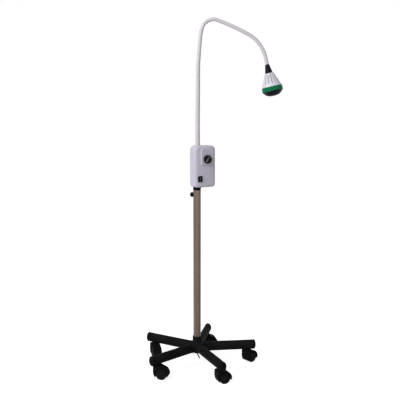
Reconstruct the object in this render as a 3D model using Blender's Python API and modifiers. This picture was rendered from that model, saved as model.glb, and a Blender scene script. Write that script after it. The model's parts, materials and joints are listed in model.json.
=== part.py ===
"""Examination lamp: a gooseneck lamp on a control box, on a pole with a five-legged rolling base."""

import math

import bmesh
import bpy
from mathutils import Matrix, Vector

# Sizes are in metres and angles in degrees. Heights are from the floor, and plan positions from the
# pole's axis.

# The origin is on the floor under the middle of the lamp's overall box, so the pole stands beside it.
POLE_X = -0.066
POLE_Y = -0.0086

GAP = 0.0003  # left between pieces that touch
RUNNING_GAP = 0.0005  # left between pieces that turn or slide on each other
CUT_REACH = 0.010  # a cutter goes this far past the wall it cuts
SHARP_ANGLE = 35  # edges that fold more than this stay sharp
ROUND_STEPS = 24
HEAD_STEPS = 30
SMALL_STEPS = 14

# Rolling base
LEG_COUNT = 5
FIRST_LEG_ANGLE = 6.5  # leg 1 points right, and the numbers go clockwise seen from above
LEG_STEP = -360 / LEG_COUNT
LEG_AXIS_HEIGHT = 0.0865
LEG_WIDTH = 0.034
LEG_HEIGHT = 0.044
LEG_WALL = 0.0022
LEG_REACH = 0.263  # pole axis to the open end of a leg
LEG_SIDES = 16
HUB_APOTHEM = 0.030  # pole axis to the flats of the five-sided core
HUB_COLLAR_RADIUS = 0.0205
HUB_COLLAR_TOP = 0.138
HUB_FLOOR = 0.006
PLUG_DOME = 0.011
PLUG_RIM = 0.0006  # the cap stands this far over the leg
PLUG_LIP = 0.002  # straight side of the cap, before its dome
PLUG_STEPS = 4
PLUG_SPIGOT = 0.052
STEM_REACH = 0.234  # pole axis to a caster's stem

# Casters
CASTER_TRAIL_ANGLES = (42, 24, -16, -70, 12)  # where each caster's wheels trail, from +X
CASTER_TRAIL = 0.020
CASTER_FRONT = 0.016  # stem's axis to the body's front face
BODY_TOP = 0.0625
BODY_WIDTH = 0.041
BODY_EDGE = 0.0026  # chamfer between the top and the front face
BODY_SHOULDER = 0.005  # the top starts this far in front of the axle
BODY_FOOT = 0.008  # height of the front face's foot over the axle
WHEEL_RADIUS = 0.025
WHEEL_WIDTH = 0.015
WHEEL_STEPS = 18  # leaves a flat facet under the axle
WEB_THICKNESS = 0.0084
WHEEL_EDGE = 0.002
WHEEL_RIM = 0.003
WEB_BACK_ANGLE = 15  # angles round the axle, from the level behind it
WEB_FOOT_RADIUS = 0.011
WEB_FOOT_ANGLE = 35  # the web's foot stops this far under the level of the axle
AXLE_RADIUS = 0.004
AXLE_SHARE = 0.7  # share of a wheel's width that the axle reaches into it
HOOD_INNER_RADIUS = 0.0282
HOOD_THICKNESS = 0.0030
HOOD_END_THICKNESS = 0.0014
HOOD_BACK_ANGLE = -18  # the hood ends behind the wheels, below the level of the axle
HOOD_SHOULDER_ANGLE = 8  # the hood gets thinner from here to its end
HOOD_TOP_ANGLE = 78
HOOD_LIP_ANGLE = 188
HOOD_LIP = 0.0018
HOOD_STEPS = 5
HOOD_INNER_STEPS = 14
WEB_TOP_STEPS = 6
WEB_FOOT_STEPS = 3
STEM_RADIUS = 0.005
STEM_TOP = 0.0955
STEM_BOSS_RADIUS = 0.0115
STEM_BOSS_SINK = 0.002

# Pole, inner tube and clamp
POLE_RADIUS = 0.017
POLE_WALL = 0.0015
POLE_TOP = 0.814
BUSH_HEIGHT = 0.0125
BUSH_SPIGOT = 0.014
BUSH_LIP = 0.001  # the bush's upper edge stands this far over the pole
BUSH_LIP_HEIGHT = 0.005
TUBE_RADIUS = 0.013
TUBE_WALL = 0.0012
TUBE_FOOT = 0.42
TUBE_TOP = 0.8595
CLAMP_HEIGHT = 0.7935
CLAMP_BOSS_RADIUS = 0.0065
CLAMP_BOSS_LENGTH = 0.0008
CLAMP_SCREW_RADIUS = 0.003
CLAMP_KNOB_RADIUS = 0.0115
CLAMP_KNOB_LENGTH = 0.012
CLAMP_KNOB_PROFILE = ((0.0, 1.0), (0.6, 0.96), (0.9, 0.79), (1.0, 0.58), (1.0, 0.25), (0.7, 0.0))  # in shares
NUT_WALL = 0.0028
NUT_HEIGHT = 0.005
NUT_SEAT = 0.0028  # the nut stands this far over the box's floor, on the floor's rounded edge

# Control box, in its own frame: x along its front, y to its back, and the pole's axis at x = y = 0
BOX_TURN = 28
BOX_LEFT = -0.025
BOX_RIGHT = 0.0787
BOX_FRONT = -0.032
BOX_BACK = 0.029
BOX_BOTTOM = POLE_TOP + GAP + BUSH_HEIGHT + GAP
BOX_HEIGHT = 0.185
BOX_WALL = 0.0025
BOX_TOP_CORNER = 0.022  # corners of its front view
BOX_BOTTOM_CORNER = 0.015
BOX_ROUNDING = 0.011  # edges of its front and back
CORNER_STEPS = 4
ROUNDING_STEPS = 3
FLAT_ANGLE = 1  # faces that fold less than this are one flat face
RIM_ANGLE = 60  # edges that fold more than this are the rims of the front and back
COVER_DEPTH = 0.017
DIAL_X = 0.033
DIAL_HEIGHT = 0.952
DIAL_PLATE = (0.002, 0.068, 0.925, 1.0)  # left, right, bottom, top
DIAL_PLATE_CORNER = 0.009
DIAL_PLATE_THICKNESS = 0.003
DIAL_PLATE_SLOPE = 0.0035  # width of its sloping edges
KNOB_RADIUS = 0.0192
KNOB_SKIRT = 0.009
KNOB_EDGE = (0.0020, 0.0014)  # width and depth of the chamfer round its face
KNOB_DRAFT = 0.0006
GRIP_HALF_WIDTH = 0.0042
GRIP_HEIGHT = 0.008
GRIP_INSET = 0.0035
GRIP_SINK = 0.002
GRIP_ROUNDING = 0.0018
GRIP_TURN = 40  # clockwise from upright, as the user sees it
SPINDLE_RADIUS = 0.003
SPINDLE_DEPTH = 0.014
BUSHING_RADIUS = 0.0046
BUSHING_HOLE = 0.005
POT_RADIUS = 0.012
POT_DEPTH = 0.011
SWITCH_X = -0.001
SWITCH_HEIGHT = 0.866
SWITCH_FRAME = (0.0215, 0.0258)
SWITCH_BODY = (0.0180, 0.0225)
SWITCH_WINDOW = (0.0146, 0.0192)
SWITCH_PROUD = 0.0022
SWITCH_EDGE = 0.0009
SWITCH_DEPTH = 0.0135
SWITCH_WINDOW_DEPTH = 0.011
ROCKER_SIZE = (0.0138, 0.0178)
ROCKER_PIVOT = 0.0022  # depth of its pivot behind the box's front
ROCKER_MIDDLE = 0.0034  # its face's reach in front of the pivot, at its middle and at its ends
ROCKER_ENDS = 0.0046
ROCKER_BACK = 0.0040
ROCKER_TILT = 7  # the rocker rests on its lower half
FUSE_X = 0.045
FUSE_Y = 0.004
FUSE_RADIUS = 0.0055
FUSE_DEPTH = 0.022
FUSE_CAP_RADIUS = 0.0068
FUSE_CAP_HEIGHT = 0.003
FUSE_CAP_EDGE = 0.001
TRANSFORMER_SIDES = (0.023, 0.063)
TRANSFORMER_ENDS = (0.862, 0.902)
TRANSFORMER_DEPTH = 0.030
COIL_INSET = 0.008  # from the sides of the core
COIL_OVERHANG = 0.006  # past the front and the ends of the core
COIL_BACK = 0.004  # in front of the core's back
COIL_ROUNDING = 0.003
BOARD_SIDES = (0.007, 0.063)
BOARD_ENDS = (0.918, 0.986)
BOARD_THICKNESS = 0.0016

# Gooseneck, along its centreline from the box's top to the head's collar
NECK_ROUTE = (
    (0.0028, 0.0, 1.0123),
    (0.0029, 0.0, 1.1235),
    (0.0045, 0.0, 1.2625),
    (0.0057, 0.0, 1.3655),
    (0.0136, 0.0, 1.4665),
    (0.0199, 0.0, 1.5085),
    (0.0335, 0.0, 1.5380),
    (0.0665, 0.0, 1.5541),
    (0.1015, 0.0, 1.5460),
    (0.1710, 0.0, 1.5170),
    (0.2400, 0.0, 1.4800),
    (0.2750, -0.0005, 1.4431),
    (0.2937, -0.0015, 1.4058),
    (0.3020, -0.0026, 1.3732),
    (0.3043, -0.0030, 1.3632),
)
NECK_JOINTS = (0.110, 0.340, 0.645, 0.790)  # distances along the route at which it bends
SLEEVE_ENDS = (0.0, 0.225, 0.490, 0.720, None)  # None is the route's end
SLEEVE_FOOT_RADIUS = 0.0105
SLEEVE_HEAD_RADIUS = 0.0081
SLEEVE_TAPER = 0.50  # length over which the sleeve thins
SLEEVE_WALL = 0.0013
SLEEVE_SIDES_LEVEL = 3
CORE_RADIUS = 0.0054
CORE_WALL = 0.0018
CORE_SIDES_LEVEL = 1
CORE_SETBACK = 0.004  # each core ends this far from the bend
NECK_SOCKET_RADIUS = 0.0085
NECK_SOCKET_HEIGHT = 0.008
NECK_SOCKET_SEAT = 0.001  # the socket hangs this far under the box's roof, on the roof's rounded edge
CORE_IN_BOX = 0.030
CORE_IN_HEAD = 0.022
SMOOTH_STEPS = 24
STRAIGHT_SPACING = 0.040
BENT_SPACING = 0.013
END_STEP = 0.002

# Lamp head: (radius, distance along its axis from the collar's top)
COLLAR_OUTER = ((0.0088, 0.0), (0.0170, 0.0385))
COLLAR_INNER = ((0.0110, 0.0385), (0.0110, 0.0270), (0.0060, 0.0270), (0.0060, 0.0))
SHELL_OUTER = ((0.0120, 0.0388), (0.0180, 0.0388), (0.0203, 0.0400), (0.0215, 0.0425), (0.0438, 0.0972))
SHELL_INNER = ((0.0418, 0.0972), (0.0193, 0.0435), (0.0180, 0.0415), (0.0120, 0.0415))
RING_OUTER = ((0.0440, 0.0975), (0.0450, 0.0985), (0.0457, 0.1150), (0.0452, 0.1170))
RING_INNER = ((0.0410, 0.1170), (0.0410, 0.0975))
BEZEL_OUTER = ((0.0452, 0.1173), (0.0436, 0.1192), (0.0400, 0.1224), (0.0364, 0.1262), (0.0326, 0.1304),
               (0.0310, 0.1316), (0.0286, 0.1316))
BEZEL_INNER = ((0.0286, 0.1300), (0.0309, 0.1300), (0.0309, 0.1268), (0.0340, 0.1245), (0.0380, 0.1202),
               (0.0410, 0.1173))
LENS_PROFILE = ((0.0, 0.1271), (0.0306, 0.1271), (0.0306, 0.1297), (0.0282, 0.1297), (0.0282, 0.1314),
                (0.0230, 0.1336), (0.0155, 0.1355), (0.0080, 0.1364), (0.0, 0.1367))
REFLECTOR_OUTER = ((0.0100, 0.0660), (0.0220, 0.0800), (0.0320, 0.0980), (0.0365, 0.1152), (0.0405, 0.1152))
REFLECTOR_INNER = ((0.0405, 0.1169), (0.0353, 0.1169), (0.0308, 0.0986), (0.0208, 0.0812), (0.0090, 0.0675))
LAMP_PROFILE = (
    (0.0, 0.0418), (0.0160, 0.0418), (0.0160, 0.0450), (0.0075, 0.0450), (0.0075, 0.0640),
    (0.0055, 0.0660), (0.0055, 0.0840), (0.0035, 0.0900), (0.0, 0.0920),
)

# Lead sleeve under the hub, from the pole's axis and the floor
LEAD_ROUTE = ((0.0, 0.0, 0.0730), (0.0, 0.0, 0.0625), (0.0025, -0.0020, 0.0515), (0.0075, -0.0060, 0.0405),
              (0.0125, -0.0100, 0.0330))
LEAD_RADIUS = 0.0033
LEAD_WALL = 0.0009
LEAD_SIDES_LEVEL = 2
LEAD_STEPS = 2

# Colour, roughness and metallic value of each finish
FINISHES = {
    "black_powder_coat": ((0.020, 0.020, 0.022), 0.45, 0.0),
    "black_nylon": ((0.022, 0.022, 0.024), 0.50, 0.0),
    "black_rubber": ((0.018, 0.018, 0.018), 0.75, 0.0),
    "stainless": ((0.420, 0.360, 0.330), 0.30, 1.0),
    "steel": ((0.550, 0.550, 0.560), 0.35, 1.0),
    "box_plastic": ((0.560, 0.540, 0.610), 0.48, 0.0),
    "plate_plastic": ((0.420, 0.400, 0.450), 0.45, 0.0),
    "neck_sleeve": ((0.660, 0.640, 0.660), 0.50, 0.0),
    "white_plastic": ((0.800, 0.790, 0.830), 0.40, 0.0),
    "green_plastic": ((0.010, 0.170, 0.085), 0.35, 0.0),
    "rocker_green": ((0.010, 0.090, 0.075), 0.30, 0.0),
    "glass": ((0.060, 0.060, 0.070), 0.05, 0.0),
    "aluminium": ((0.750, 0.750, 0.760), 0.20, 1.0),
    "ceramic": ((0.800, 0.780, 0.740), 0.60, 0.0),
    "board_green": ((0.030, 0.160, 0.070), 0.55, 0.0),
    "iron": ((0.180, 0.170, 0.160), 0.60, 0.6),
}


def clear_scene():
    for obj in list(bpy.data.objects):
        bpy.data.objects.remove(obj, do_unlink=True)


def new_collection(name):
    collection = bpy.data.collections.new(name)
    bpy.context.scene.collection.children.link(collection)
    return collection


clear_scene()
PARTS = new_collection("examination_lamp")
CUTTERS = new_collection("cutters")


def paint(obj, finish):
    """Gives the piece a material of its own in one of the finishes."""
    colour, roughness, metallic = FINISHES[finish]
    material = bpy.data.materials.new(f"{obj.name} {finish}")
    material.use_nodes = True
    shader = material.node_tree.nodes["Principled BSDF"]
    shader.inputs["Base Color"].default_value = (*colour, 1.0)
    shader.inputs["Roughness"].default_value = roughness
    shader.inputs["Metallic"].default_value = metallic
    obj.data.materials.clear()
    obj.data.materials.append(material)


def place(obj, parent=None, location=(0, 0, 0), turn=(0, 0, 0)):
    """Puts an object under its parent, at a location and turned by angles in degrees."""
    obj.parent = parent
    obj.location = location
    obj.rotation_euler = [math.radians(angle) for angle in turn]
    return obj


def add_empty(name, parent=None, location=(0, 0, 0), turn=(0, 0, 0)):
    obj = bpy.data.objects.new(name, None)
    PARTS.objects.link(obj)
    return place(obj, parent, location, turn)


def add_piece(name, data, finish, parent=None, location=(0, 0, 0), turn=(0, 0, 0)):
    obj = bpy.data.objects.new(name, data)
    PARTS.objects.link(obj)
    paint(obj, finish)
    return place(obj, parent, location, turn)


def add_helper(name, data, parent=None, location=(0, 0, 0), turn=(0, 0, 0)):
    """An object that only cuts or joins others."""
    obj = bpy.data.objects.new(name, data)
    CUTTERS.objects.link(obj)
    obj.hide_render = True
    obj.display_type = "WIRE"
    return place(obj, parent, location, turn)


def boolean(obj, other, operation):
    modifier = obj.modifiers.new(f"{operation.lower()} {other.name}", "BOOLEAN")
    modifier.operation = operation
    modifier.object = other


def evaluated_mesh(obj, name):
    """A plain mesh of the object with its modifiers, welded and shaded smooth up to its sharp edges."""
    bpy.context.view_layer.update()
    graph = bpy.context.evaluated_depsgraph_get()
    mesh = bpy.data.meshes.new_from_object(obj.evaluated_get(graph), depsgraph=graph)
    mesh.name = name
    work = bmesh.new()
    work.from_mesh(mesh)
    bmesh.ops.remove_doubles(work, verts=work.verts, dist=1e-6)
    work.to_mesh(mesh)
    work.free()
    mesh.shade_smooth()
    mesh.set_sharp_from_angle(angle=math.radians(SHARP_ANGLE))
    return mesh


def remove_helpers(*helpers):
    for helper in helpers:
        bpy.data.objects.remove(helper, do_unlink=True)


def profile_mesh(name, points, ring):
    """A turned piece's profile, as (radius, height) points that run down its outer side."""
    mesh = bpy.data.meshes.new(name)
    edges = [(i, i + 1) for i in range(len(points) - 1)]
    if ring:
        edges.append((len(points) - 1, 0))
    mesh.from_pydata([(radius, 0, height) for radius, height in points], edges, [])
    return mesh


def turn_profile(obj, steps):
    screw = obj.modifiers.new("turned", "SCREW")
    screw.axis = "Z"
    screw.steps = steps
    screw.render_steps = steps
    screw.use_merge_vertices = True
    screw.merge_threshold = 0.00001
    screw.use_smooth_shade = False
    return obj


def add_turned(name, points, finish, parent=None, location=(0, 0, 0), turn=(0, 0, 0), ring=False,
               steps=ROUND_STEPS):
    obj = add_piece(name, profile_mesh(name, points, ring), finish, parent, location, turn)
    return turn_profile(obj, steps)


def ring_profile(inner, outer, bottom, top):
    return ((outer, top), (outer, bottom), (inner, bottom), (inner, top))


def cylinder_mesh(name, radius, bottom, top, segments=ROUND_STEPS, open_ends=False):
    mesh = bpy.data.meshes.new(name)
    work = bmesh.new()
    bmesh.ops.create_cone(work, cap_ends=not open_ends, segments=segments, radius1=radius, radius2=radius,
                          depth=top - bottom)
    bmesh.ops.translate(work, verts=work.verts, vec=(0, 0, (top + bottom) / 2))
    work.to_mesh(mesh)
    work.free()
    return mesh


def cut_round(obj, label, parent, radius, bottom, top, location, turn=(0, 0, 0), segments=SMALL_STEPS):
    hole = cylinder_mesh(label, radius, bottom, top, segments)
    boolean(obj, add_helper(label, hole, parent, location, turn), "DIFFERENCE")


def box_mesh(name, low, high, rounding=0.0, segments=3):
    """A box between two corners, with all its edges rounded."""
    mesh = bpy.data.meshes.new(name)
    low, high = Vector(low), Vector(high)
    work = bmesh.new()
    bmesh.ops.create_cube(work, size=1.0)
    bmesh.ops.scale(work, verts=work.verts, vec=high - low)
    bmesh.ops.translate(work, verts=work.verts, vec=(low + high) / 2)
    if rounding:
        bmesh.ops.bevel(work, geom=work.edges[:], offset=rounding, segments=segments, profile=0.5,
                        affect="EDGES")
    work.to_mesh(mesh)
    work.free()
    return mesh


def plate_mesh(name, outline, thickness):
    """A flat plate in the XY plane, from a closed outline, centred on that plane."""
    curve = bpy.data.curves.new(name, "CURVE")
    curve.dimensions = "2D"
    curve.fill_mode = "BOTH"
    curve.extrude = thickness / 2
    spline = curve.splines.new("POLY")
    spline.points.add(len(outline) - 1)
    for point, (x, y) in zip(spline.points, outline):
        point.co = (x, y, 0, 1)
    spline.use_cyclic_u = True
    helper = add_helper(f"{name} outline", curve)
    mesh = evaluated_mesh(helper, name)
    remove_helpers(helper)
    return mesh


def polar(radius, angle):
    """The point at a radius from the origin and an angle in degrees."""
    return radius * math.cos(math.radians(angle)), radius * math.sin(math.radians(angle))


def arc(radius, start, end, steps):
    """Points on a circle round the origin, between two angles in degrees."""
    return [polar(radius, start + (end - start) * i / steps) for i in range(steps + 1)]


def smooth_curve(controls, steps):
    """Points on a smooth curve that passes through the controls."""
    knots = [Vector(point) for point in controls]
    knots = [2 * knots[0] - knots[1], *knots, 2 * knots[-1] - knots[-2]]
    points = []
    for before, start, end, after in zip(knots, knots[1:], knots[2:], knots[3:]):
        for i in range(steps):
            t = i / steps
            bend = 2 * before - 5 * start + 4 * end - after
            twist = 3 * start - before - 3 * end + after
            points.append((2 * start + (end - before) * t + bend * t * t + twist * t ** 3) / 2)
    points.append(knots[-2])
    return points


class Route:
    """A smooth line that is read by the distance along it, and goes on straight past its ends."""

    def __init__(self, controls, steps=SMOOTH_STEPS):
        self.points = smooth_curve(controls, steps)
        self.lengths = [0.0]
        for start, end in zip(self.points, self.points[1:]):
            self.lengths.append(self.lengths[-1] + (end - start).length)
        self.length = self.lengths[-1]

    def at(self, distance):
        last = len(self.points) - 1
        span = next((i for i in range(last) if distance <= self.lengths[i + 1]), last - 1)
        start, end = self.points[span], self.points[span + 1]
        share = (distance - self.lengths[span]) / (self.lengths[span + 1] - self.lengths[span])
        return start + (end - start) * share

    def end_direction(self):
        return (self.points[-1] - self.points[-2]).normalized()


def add_tube(name, finish, points, radii, wall, sides_level, parent, origin=(0, 0, 0)):
    """A hollow tube along a line of points, with its radius at each, and its origin at a point of its own."""
    curve = bpy.data.curves.new(name, "CURVE")
    curve.dimensions = "3D"
    curve.bevel_depth = radii[0]
    curve.bevel_resolution = sides_level
    spline = curve.splines.new("POLY")
    spline.points.add(len(points) - 1)
    for point, position, radius in zip(spline.points, points, radii):
        point.co = (*(position - Vector(origin)), 1)
        point.radius = radius / radii[0]
    obj = add_piece(name, curve, finish, parent, origin)
    wall_modifier = obj.modifiers.new("wall", "SOLIDIFY")
    wall_modifier.thickness = wall
    wall_modifier.offset = -1
    return obj


def spread(start, end, spacing):
    """Evenly spaced distances, and one more close to each end so that the ends are cut square."""
    count = max(2, math.ceil((end - start) / spacing))
    distances = [start + (end - start) * i / count for i in range(count + 1)]
    return [start, start + END_STEP, *distances[1:-1], end - END_STEP, end]


def head_profile(*sides):
    """Profile points of a head piece, whose axis runs down from its collar's top."""
    return [(radius, -distance) for side in sides for radius, distance in side]


def build_hub(stand):
    bottom = LEG_AXIS_HEIGHT - LEG_HEIGHT / 2
    corner_radius = HUB_APOTHEM / math.cos(math.pi / LEG_COUNT)
    core = cylinder_mesh("hub", corner_radius, bottom, bottom + LEG_HEIGHT, LEG_COUNT)
    # The core's corners stand between the legs, so its flats face them.
    corner = math.atan2(core.vertices[0].co.y, core.vertices[0].co.x)
    core.transform(Matrix.Rotation(math.radians(FIRST_LEG_ANGLE + LEG_STEP / 2) - corner, 4, "Z"))
    hub = add_piece("hub", core, "black_powder_coat", stand)
    collar = cylinder_mesh("hub collar", HUB_COLLAR_RADIUS, bottom + LEG_HEIGHT / 2, HUB_COLLAR_TOP)
    boolean(hub, add_helper("hub collar", collar, stand), "UNION")
    bore = cylinder_mesh("hub bore", POLE_RADIUS + GAP, bottom + HUB_FLOOR, HUB_COLLAR_TOP + CUT_REACH)
    boolean(hub, add_helper("hub bore", bore, stand), "DIFFERENCE")
    hole_radius = LEAD_RADIUS + RUNNING_GAP
    cut_round(hub, "hub lead hole", stand, hole_radius, -CUT_REACH, CUT_REACH, (0, 0, bottom))


def build_lead_sleeve(stand):
    points = smooth_curve(LEAD_ROUTE, LEAD_STEPS)
    radii = [LEAD_RADIUS] * len(points)
    add_tube("lead_sleeve", "black_rubber", points, radii, LEAD_WALL, LEAD_SIDES_LEVEL, stand)


def oval(mesh):
    """Squeezes a round section of the leg's height to the leg's width, lying along X."""
    squeeze = Matrix.Diagonal((1.0, LEG_WIDTH / LEG_HEIGHT, 1.0, 1.0))
    mesh.transform(squeeze @ Matrix.Rotation(math.pi / 2, 4, "Y"))
    return mesh


def leg_mesh():
    mesh = cylinder_mesh("leg", LEG_HEIGHT / 2, HUB_APOTHEM + GAP, LEG_REACH, LEG_SIDES, open_ends=True)
    return oval(mesh)


def plug_mesh():
    """A domed cap and the spigot behind it, which fits inside the leg and takes the caster's stem."""
    rim = LEG_HEIGHT / 2 + PLUG_RIM
    spigot = LEG_HEIGHT / 2 - LEG_WALL - GAP * 3
    face = LEG_REACH + GAP
    height = PLUG_DOME - PLUG_LIP
    dome = [(rim * x, face + PLUG_LIP + height * y) for x, y in arc(1.0, 0, 90, PLUG_STEPS)]
    tip = (0, face + PLUG_DOME)
    skirt = [(rim, face), (spigot, face), (spigot, face - PLUG_SPIGOT), (0, face - PLUG_SPIGOT)]
    points = [tip] + dome[-2::-1] + skirt
    helper = turn_profile(add_helper("plug profile", profile_mesh("plug", points, False)), LEG_SIDES)
    mesh = evaluated_mesh(helper, "leg_plug")
    remove_helpers(helper)
    return oval(mesh)


def build_leg(number, stand, plug):
    angle = FIRST_LEG_ANGLE + LEG_STEP * (number - 1)
    frame = add_empty(f"leg frame {number}", stand, (0, 0, LEG_AXIS_HEIGHT), (0, 0, angle))
    leg = add_piece(f"leg_{number}", leg_mesh(), "black_powder_coat", frame)
    wall = leg.modifiers.new("wall", "SOLIDIFY")
    wall.thickness = LEG_WALL
    wall.offset = -1
    hole = cylinder_mesh("stem hole", STEM_RADIUS + RUNNING_GAP, -LEG_HEIGHT, 0, SMALL_STEPS)
    boolean(leg, add_helper(f"stem hole {number}", hole, frame, (STEM_REACH, 0, 0)), "DIFFERENCE")
    cap = add_piece(f"leg_plug_{number}", plug.copy(), "black_nylon", frame)
    socket_top = STEM_TOP - LEG_AXIS_HEIGHT + GAP
    socket = cylinder_mesh("stem socket", STEM_RADIUS + GAP, -LEG_HEIGHT, socket_top, SMALL_STEPS)
    boolean(cap, add_helper(f"stem socket {number}", socket, frame, (STEM_REACH, 0, 0)), "DIFFERENCE")


def fork_mesh():
    """Body, web, axle and stem of one caster. The stem's axis is Z, and the wheels trail to +X."""
    hood_radius = HOOD_INNER_RADIUS + HOOD_THICKNESS
    front = -CASTER_TRAIL - CASTER_FRONT
    top = BODY_TOP - WHEEL_RADIUS
    # The hood follows the wheels at the back, and the block in front of them carries the stem.
    lip = polar(HOOD_INNER_RADIUS + HOOD_LIP, HOOD_LIP_ANGLE)
    block = [(-BODY_SHOULDER, top), (front + BODY_EDGE, top), (front, top - BODY_EDGE), (front, BODY_FOOT),
             lip]
    hood_end = polar(HOOD_INNER_RADIUS + HOOD_END_THICKNESS, HOOD_BACK_ANGLE)
    hood = [hood_end] + arc(hood_radius, HOOD_SHOULDER_ANGLE, HOOD_TOP_ANGLE, HOOD_STEPS)
    hood_inside = arc(HOOD_INNER_RADIUS, HOOD_LIP_ANGLE, HOOD_BACK_ANGLE, HOOD_INNER_STEPS)
    body_outline = hood + block + hood_inside
    web_radius = hood_radius - HOOD_THICKNESS / 2
    web_top = arc(web_radius, WEB_BACK_ANGLE, 180 - WEB_BACK_ANGLE, WEB_TOP_STEPS)
    web_foot = arc(WEB_FOOT_RADIUS, 180 + WEB_FOOT_ANGLE, 360 - WEB_FOOT_ANGLE, WEB_FOOT_STEPS)
    web_outline = web_top + web_foot
    leg_bottom = LEG_AXIS_HEIGHT - LEG_HEIGHT / 2
    boss_top = leg_bottom - RUNNING_GAP
    boss_bottom = BODY_TOP - STEM_BOSS_SINK
    stem_profile = ((0, STEM_TOP - GAP), (STEM_RADIUS, STEM_TOP - GAP), (STEM_RADIUS, boss_top),
                    (STEM_BOSS_RADIUS, boss_top), (STEM_BOSS_RADIUS, boss_bottom), (0, boss_bottom))
    axle_reach = WEB_THICKNESS / 2 + WHEEL_WIDTH * AXLE_SHARE
    at_axle = (CASTER_TRAIL, 0, WHEEL_RADIUS)
    body = add_helper("body", plate_mesh("body", body_outline, BODY_WIDTH), None, at_axle, (90, 0, 0))
    web = add_helper("web", plate_mesh("web", web_outline, WEB_THICKNESS), None, at_axle, (90, 0, 0))
    stem = turn_profile(add_helper("stem", profile_mesh("stem", stem_profile, False)), SMALL_STEPS)
    axle_rod = cylinder_mesh("axle", AXLE_RADIUS, -axle_reach, axle_reach, SMALL_STEPS)
    axle = add_helper("axle", axle_rod, None, at_axle, (90, 0, 0))
    for other in (web, stem, axle):
        boolean(body, other, "UNION")
    mesh = evaluated_mesh(body, "caster_fork")
    mesh.transform(body.matrix_world)
    remove_helpers(body, web, stem, axle)
    return mesh


def wheel_mesh():
    """One wheel, whose axis is Z, with its blind bore at the bottom and its dished cap on top."""
    tread = WHEEL_RADIUS / math.cos(math.pi / WHEEL_STEPS)
    bore = AXLE_RADIUS + GAP
    half = WHEEL_WIDTH / 2
    bore_top = WHEEL_WIDTH * AXLE_SHARE + RUNNING_GAP - half
    face = half - WHEEL_EDGE
    rim = tread - WHEEL_EDGE - WHEEL_RIM
    points = ((0, face), (rim - WHEEL_EDGE, face), (rim, half), (rim + WHEEL_RIM, half), (tread, face),
              (tread, -half), (bore, -half), (bore, bore_top), (0, bore_top))
    helper = turn_profile(add_helper("wheel profile", profile_mesh("wheel", points, False)), WHEEL_STEPS)
    mesh = evaluated_mesh(helper, "caster_wheel")
    remove_helpers(helper)
    return mesh


def build_caster(number, stand, fork, wheel):
    leg_angle = math.radians(FIRST_LEG_ANGLE + LEG_STEP * (number - 1))
    stem = (STEM_REACH * math.cos(leg_angle), STEM_REACH * math.sin(leg_angle), 0)
    swivel = add_empty(f"caster swivel {number}", stand, stem, (0, 0, CASTER_TRAIL_ANGLES[number - 1]))
    add_piece(f"caster_fork_{number}", fork.copy(), "black_nylon", swivel)
    offset = WEB_THICKNESS / 2 + RUNNING_GAP + WHEEL_WIDTH / 2
    for side, way in (("left", 1), ("right", -1)):
        centre = (CASTER_TRAIL, offset * way, WHEEL_RADIUS)
        name = f"caster_wheel_{side}_{number}"
        add_piece(name, wheel.copy(), "black_nylon", swivel, centre, (-90 * way, 0, 0))


def build_pole(stand):
    bottom = LEG_AXIS_HEIGHT - LEG_HEIGHT / 2 + HUB_FLOOR + GAP
    bore = POLE_RADIUS - POLE_WALL
    wall = ring_profile(bore, POLE_RADIUS, bottom, POLE_TOP)
    pole = add_turned("pole", wall, "stainless", stand, ring=True)
    clamp = (0, 0, CLAMP_HEIGHT)
    boss_end = POLE_RADIUS + CLAMP_BOSS_LENGTH
    boss = cylinder_mesh("clamp boss", CLAMP_BOSS_RADIUS, bore + POLE_WALL / 2, boss_end, SMALL_STEPS)
    boolean(pole, add_helper("clamp boss", boss, stand, clamp, (0, -90, 0)), "UNION")
    screw = CLAMP_SCREW_RADIUS + GAP
    cut_round(pole, "clamp hole", stand, screw, TUBE_RADIUS / 2, POLE_RADIUS * 2, clamp, (0, -90, 0))
    bush_bottom = POLE_TOP + GAP
    bush_top = bush_bottom + BUSH_HEIGHT
    inner = TUBE_RADIUS + RUNNING_GAP
    lip = POLE_RADIUS + BUSH_LIP
    lip_bottom = bush_top - BUSH_LIP_HEIGHT
    spigot = bore - GAP
    spigot_bottom = bush_bottom - BUSH_SPIGOT
    bush = ((lip, bush_top), (lip, lip_bottom), (POLE_RADIUS, lip_bottom), (POLE_RADIUS, bush_bottom),
            (spigot, bush_bottom), (spigot, spigot_bottom), (inner, spigot_bottom), (inner, bush_top))
    add_turned("pole_bush", bush, "black_nylon", stand, ring=True)


def build_clamp_knob(stand):
    """Thumb knob on the left of the pole, with the screw that presses on the inner tube."""
    face = POLE_RADIUS + CLAMP_BOSS_LENGTH + RUNNING_GAP
    tip = TUBE_RADIUS + RUNNING_GAP
    knob = [(CLAMP_KNOB_RADIUS * x, face + CLAMP_KNOB_LENGTH * y) for x, y in CLAMP_KNOB_PROFILE]
    screw = [(CLAMP_SCREW_RADIUS, face), (CLAMP_SCREW_RADIUS, tip), (0, tip)]
    clamp = (0, 0, CLAMP_HEIGHT)
    add_turned("clamp_knob", knob + screw, "black_nylon", stand, clamp, (0, -90, 0), steps=SMALL_STEPS)


def build_inner_tube(stand):
    bore = TUBE_RADIUS - TUBE_WALL
    wall = ring_profile(bore, TUBE_RADIUS, TUBE_FOOT, TUBE_TOP)
    add_turned("inner_tube", wall, "stainless", stand, ring=True)
    foot = BOX_BOTTOM + BOX_WALL + NUT_SEAT
    nut = ring_profile(TUBE_RADIUS + GAP, TUBE_RADIUS + NUT_WALL, foot, foot + NUT_HEIGHT)
    add_turned("tube_nut", nut, "steel", stand, ring=True)


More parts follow.
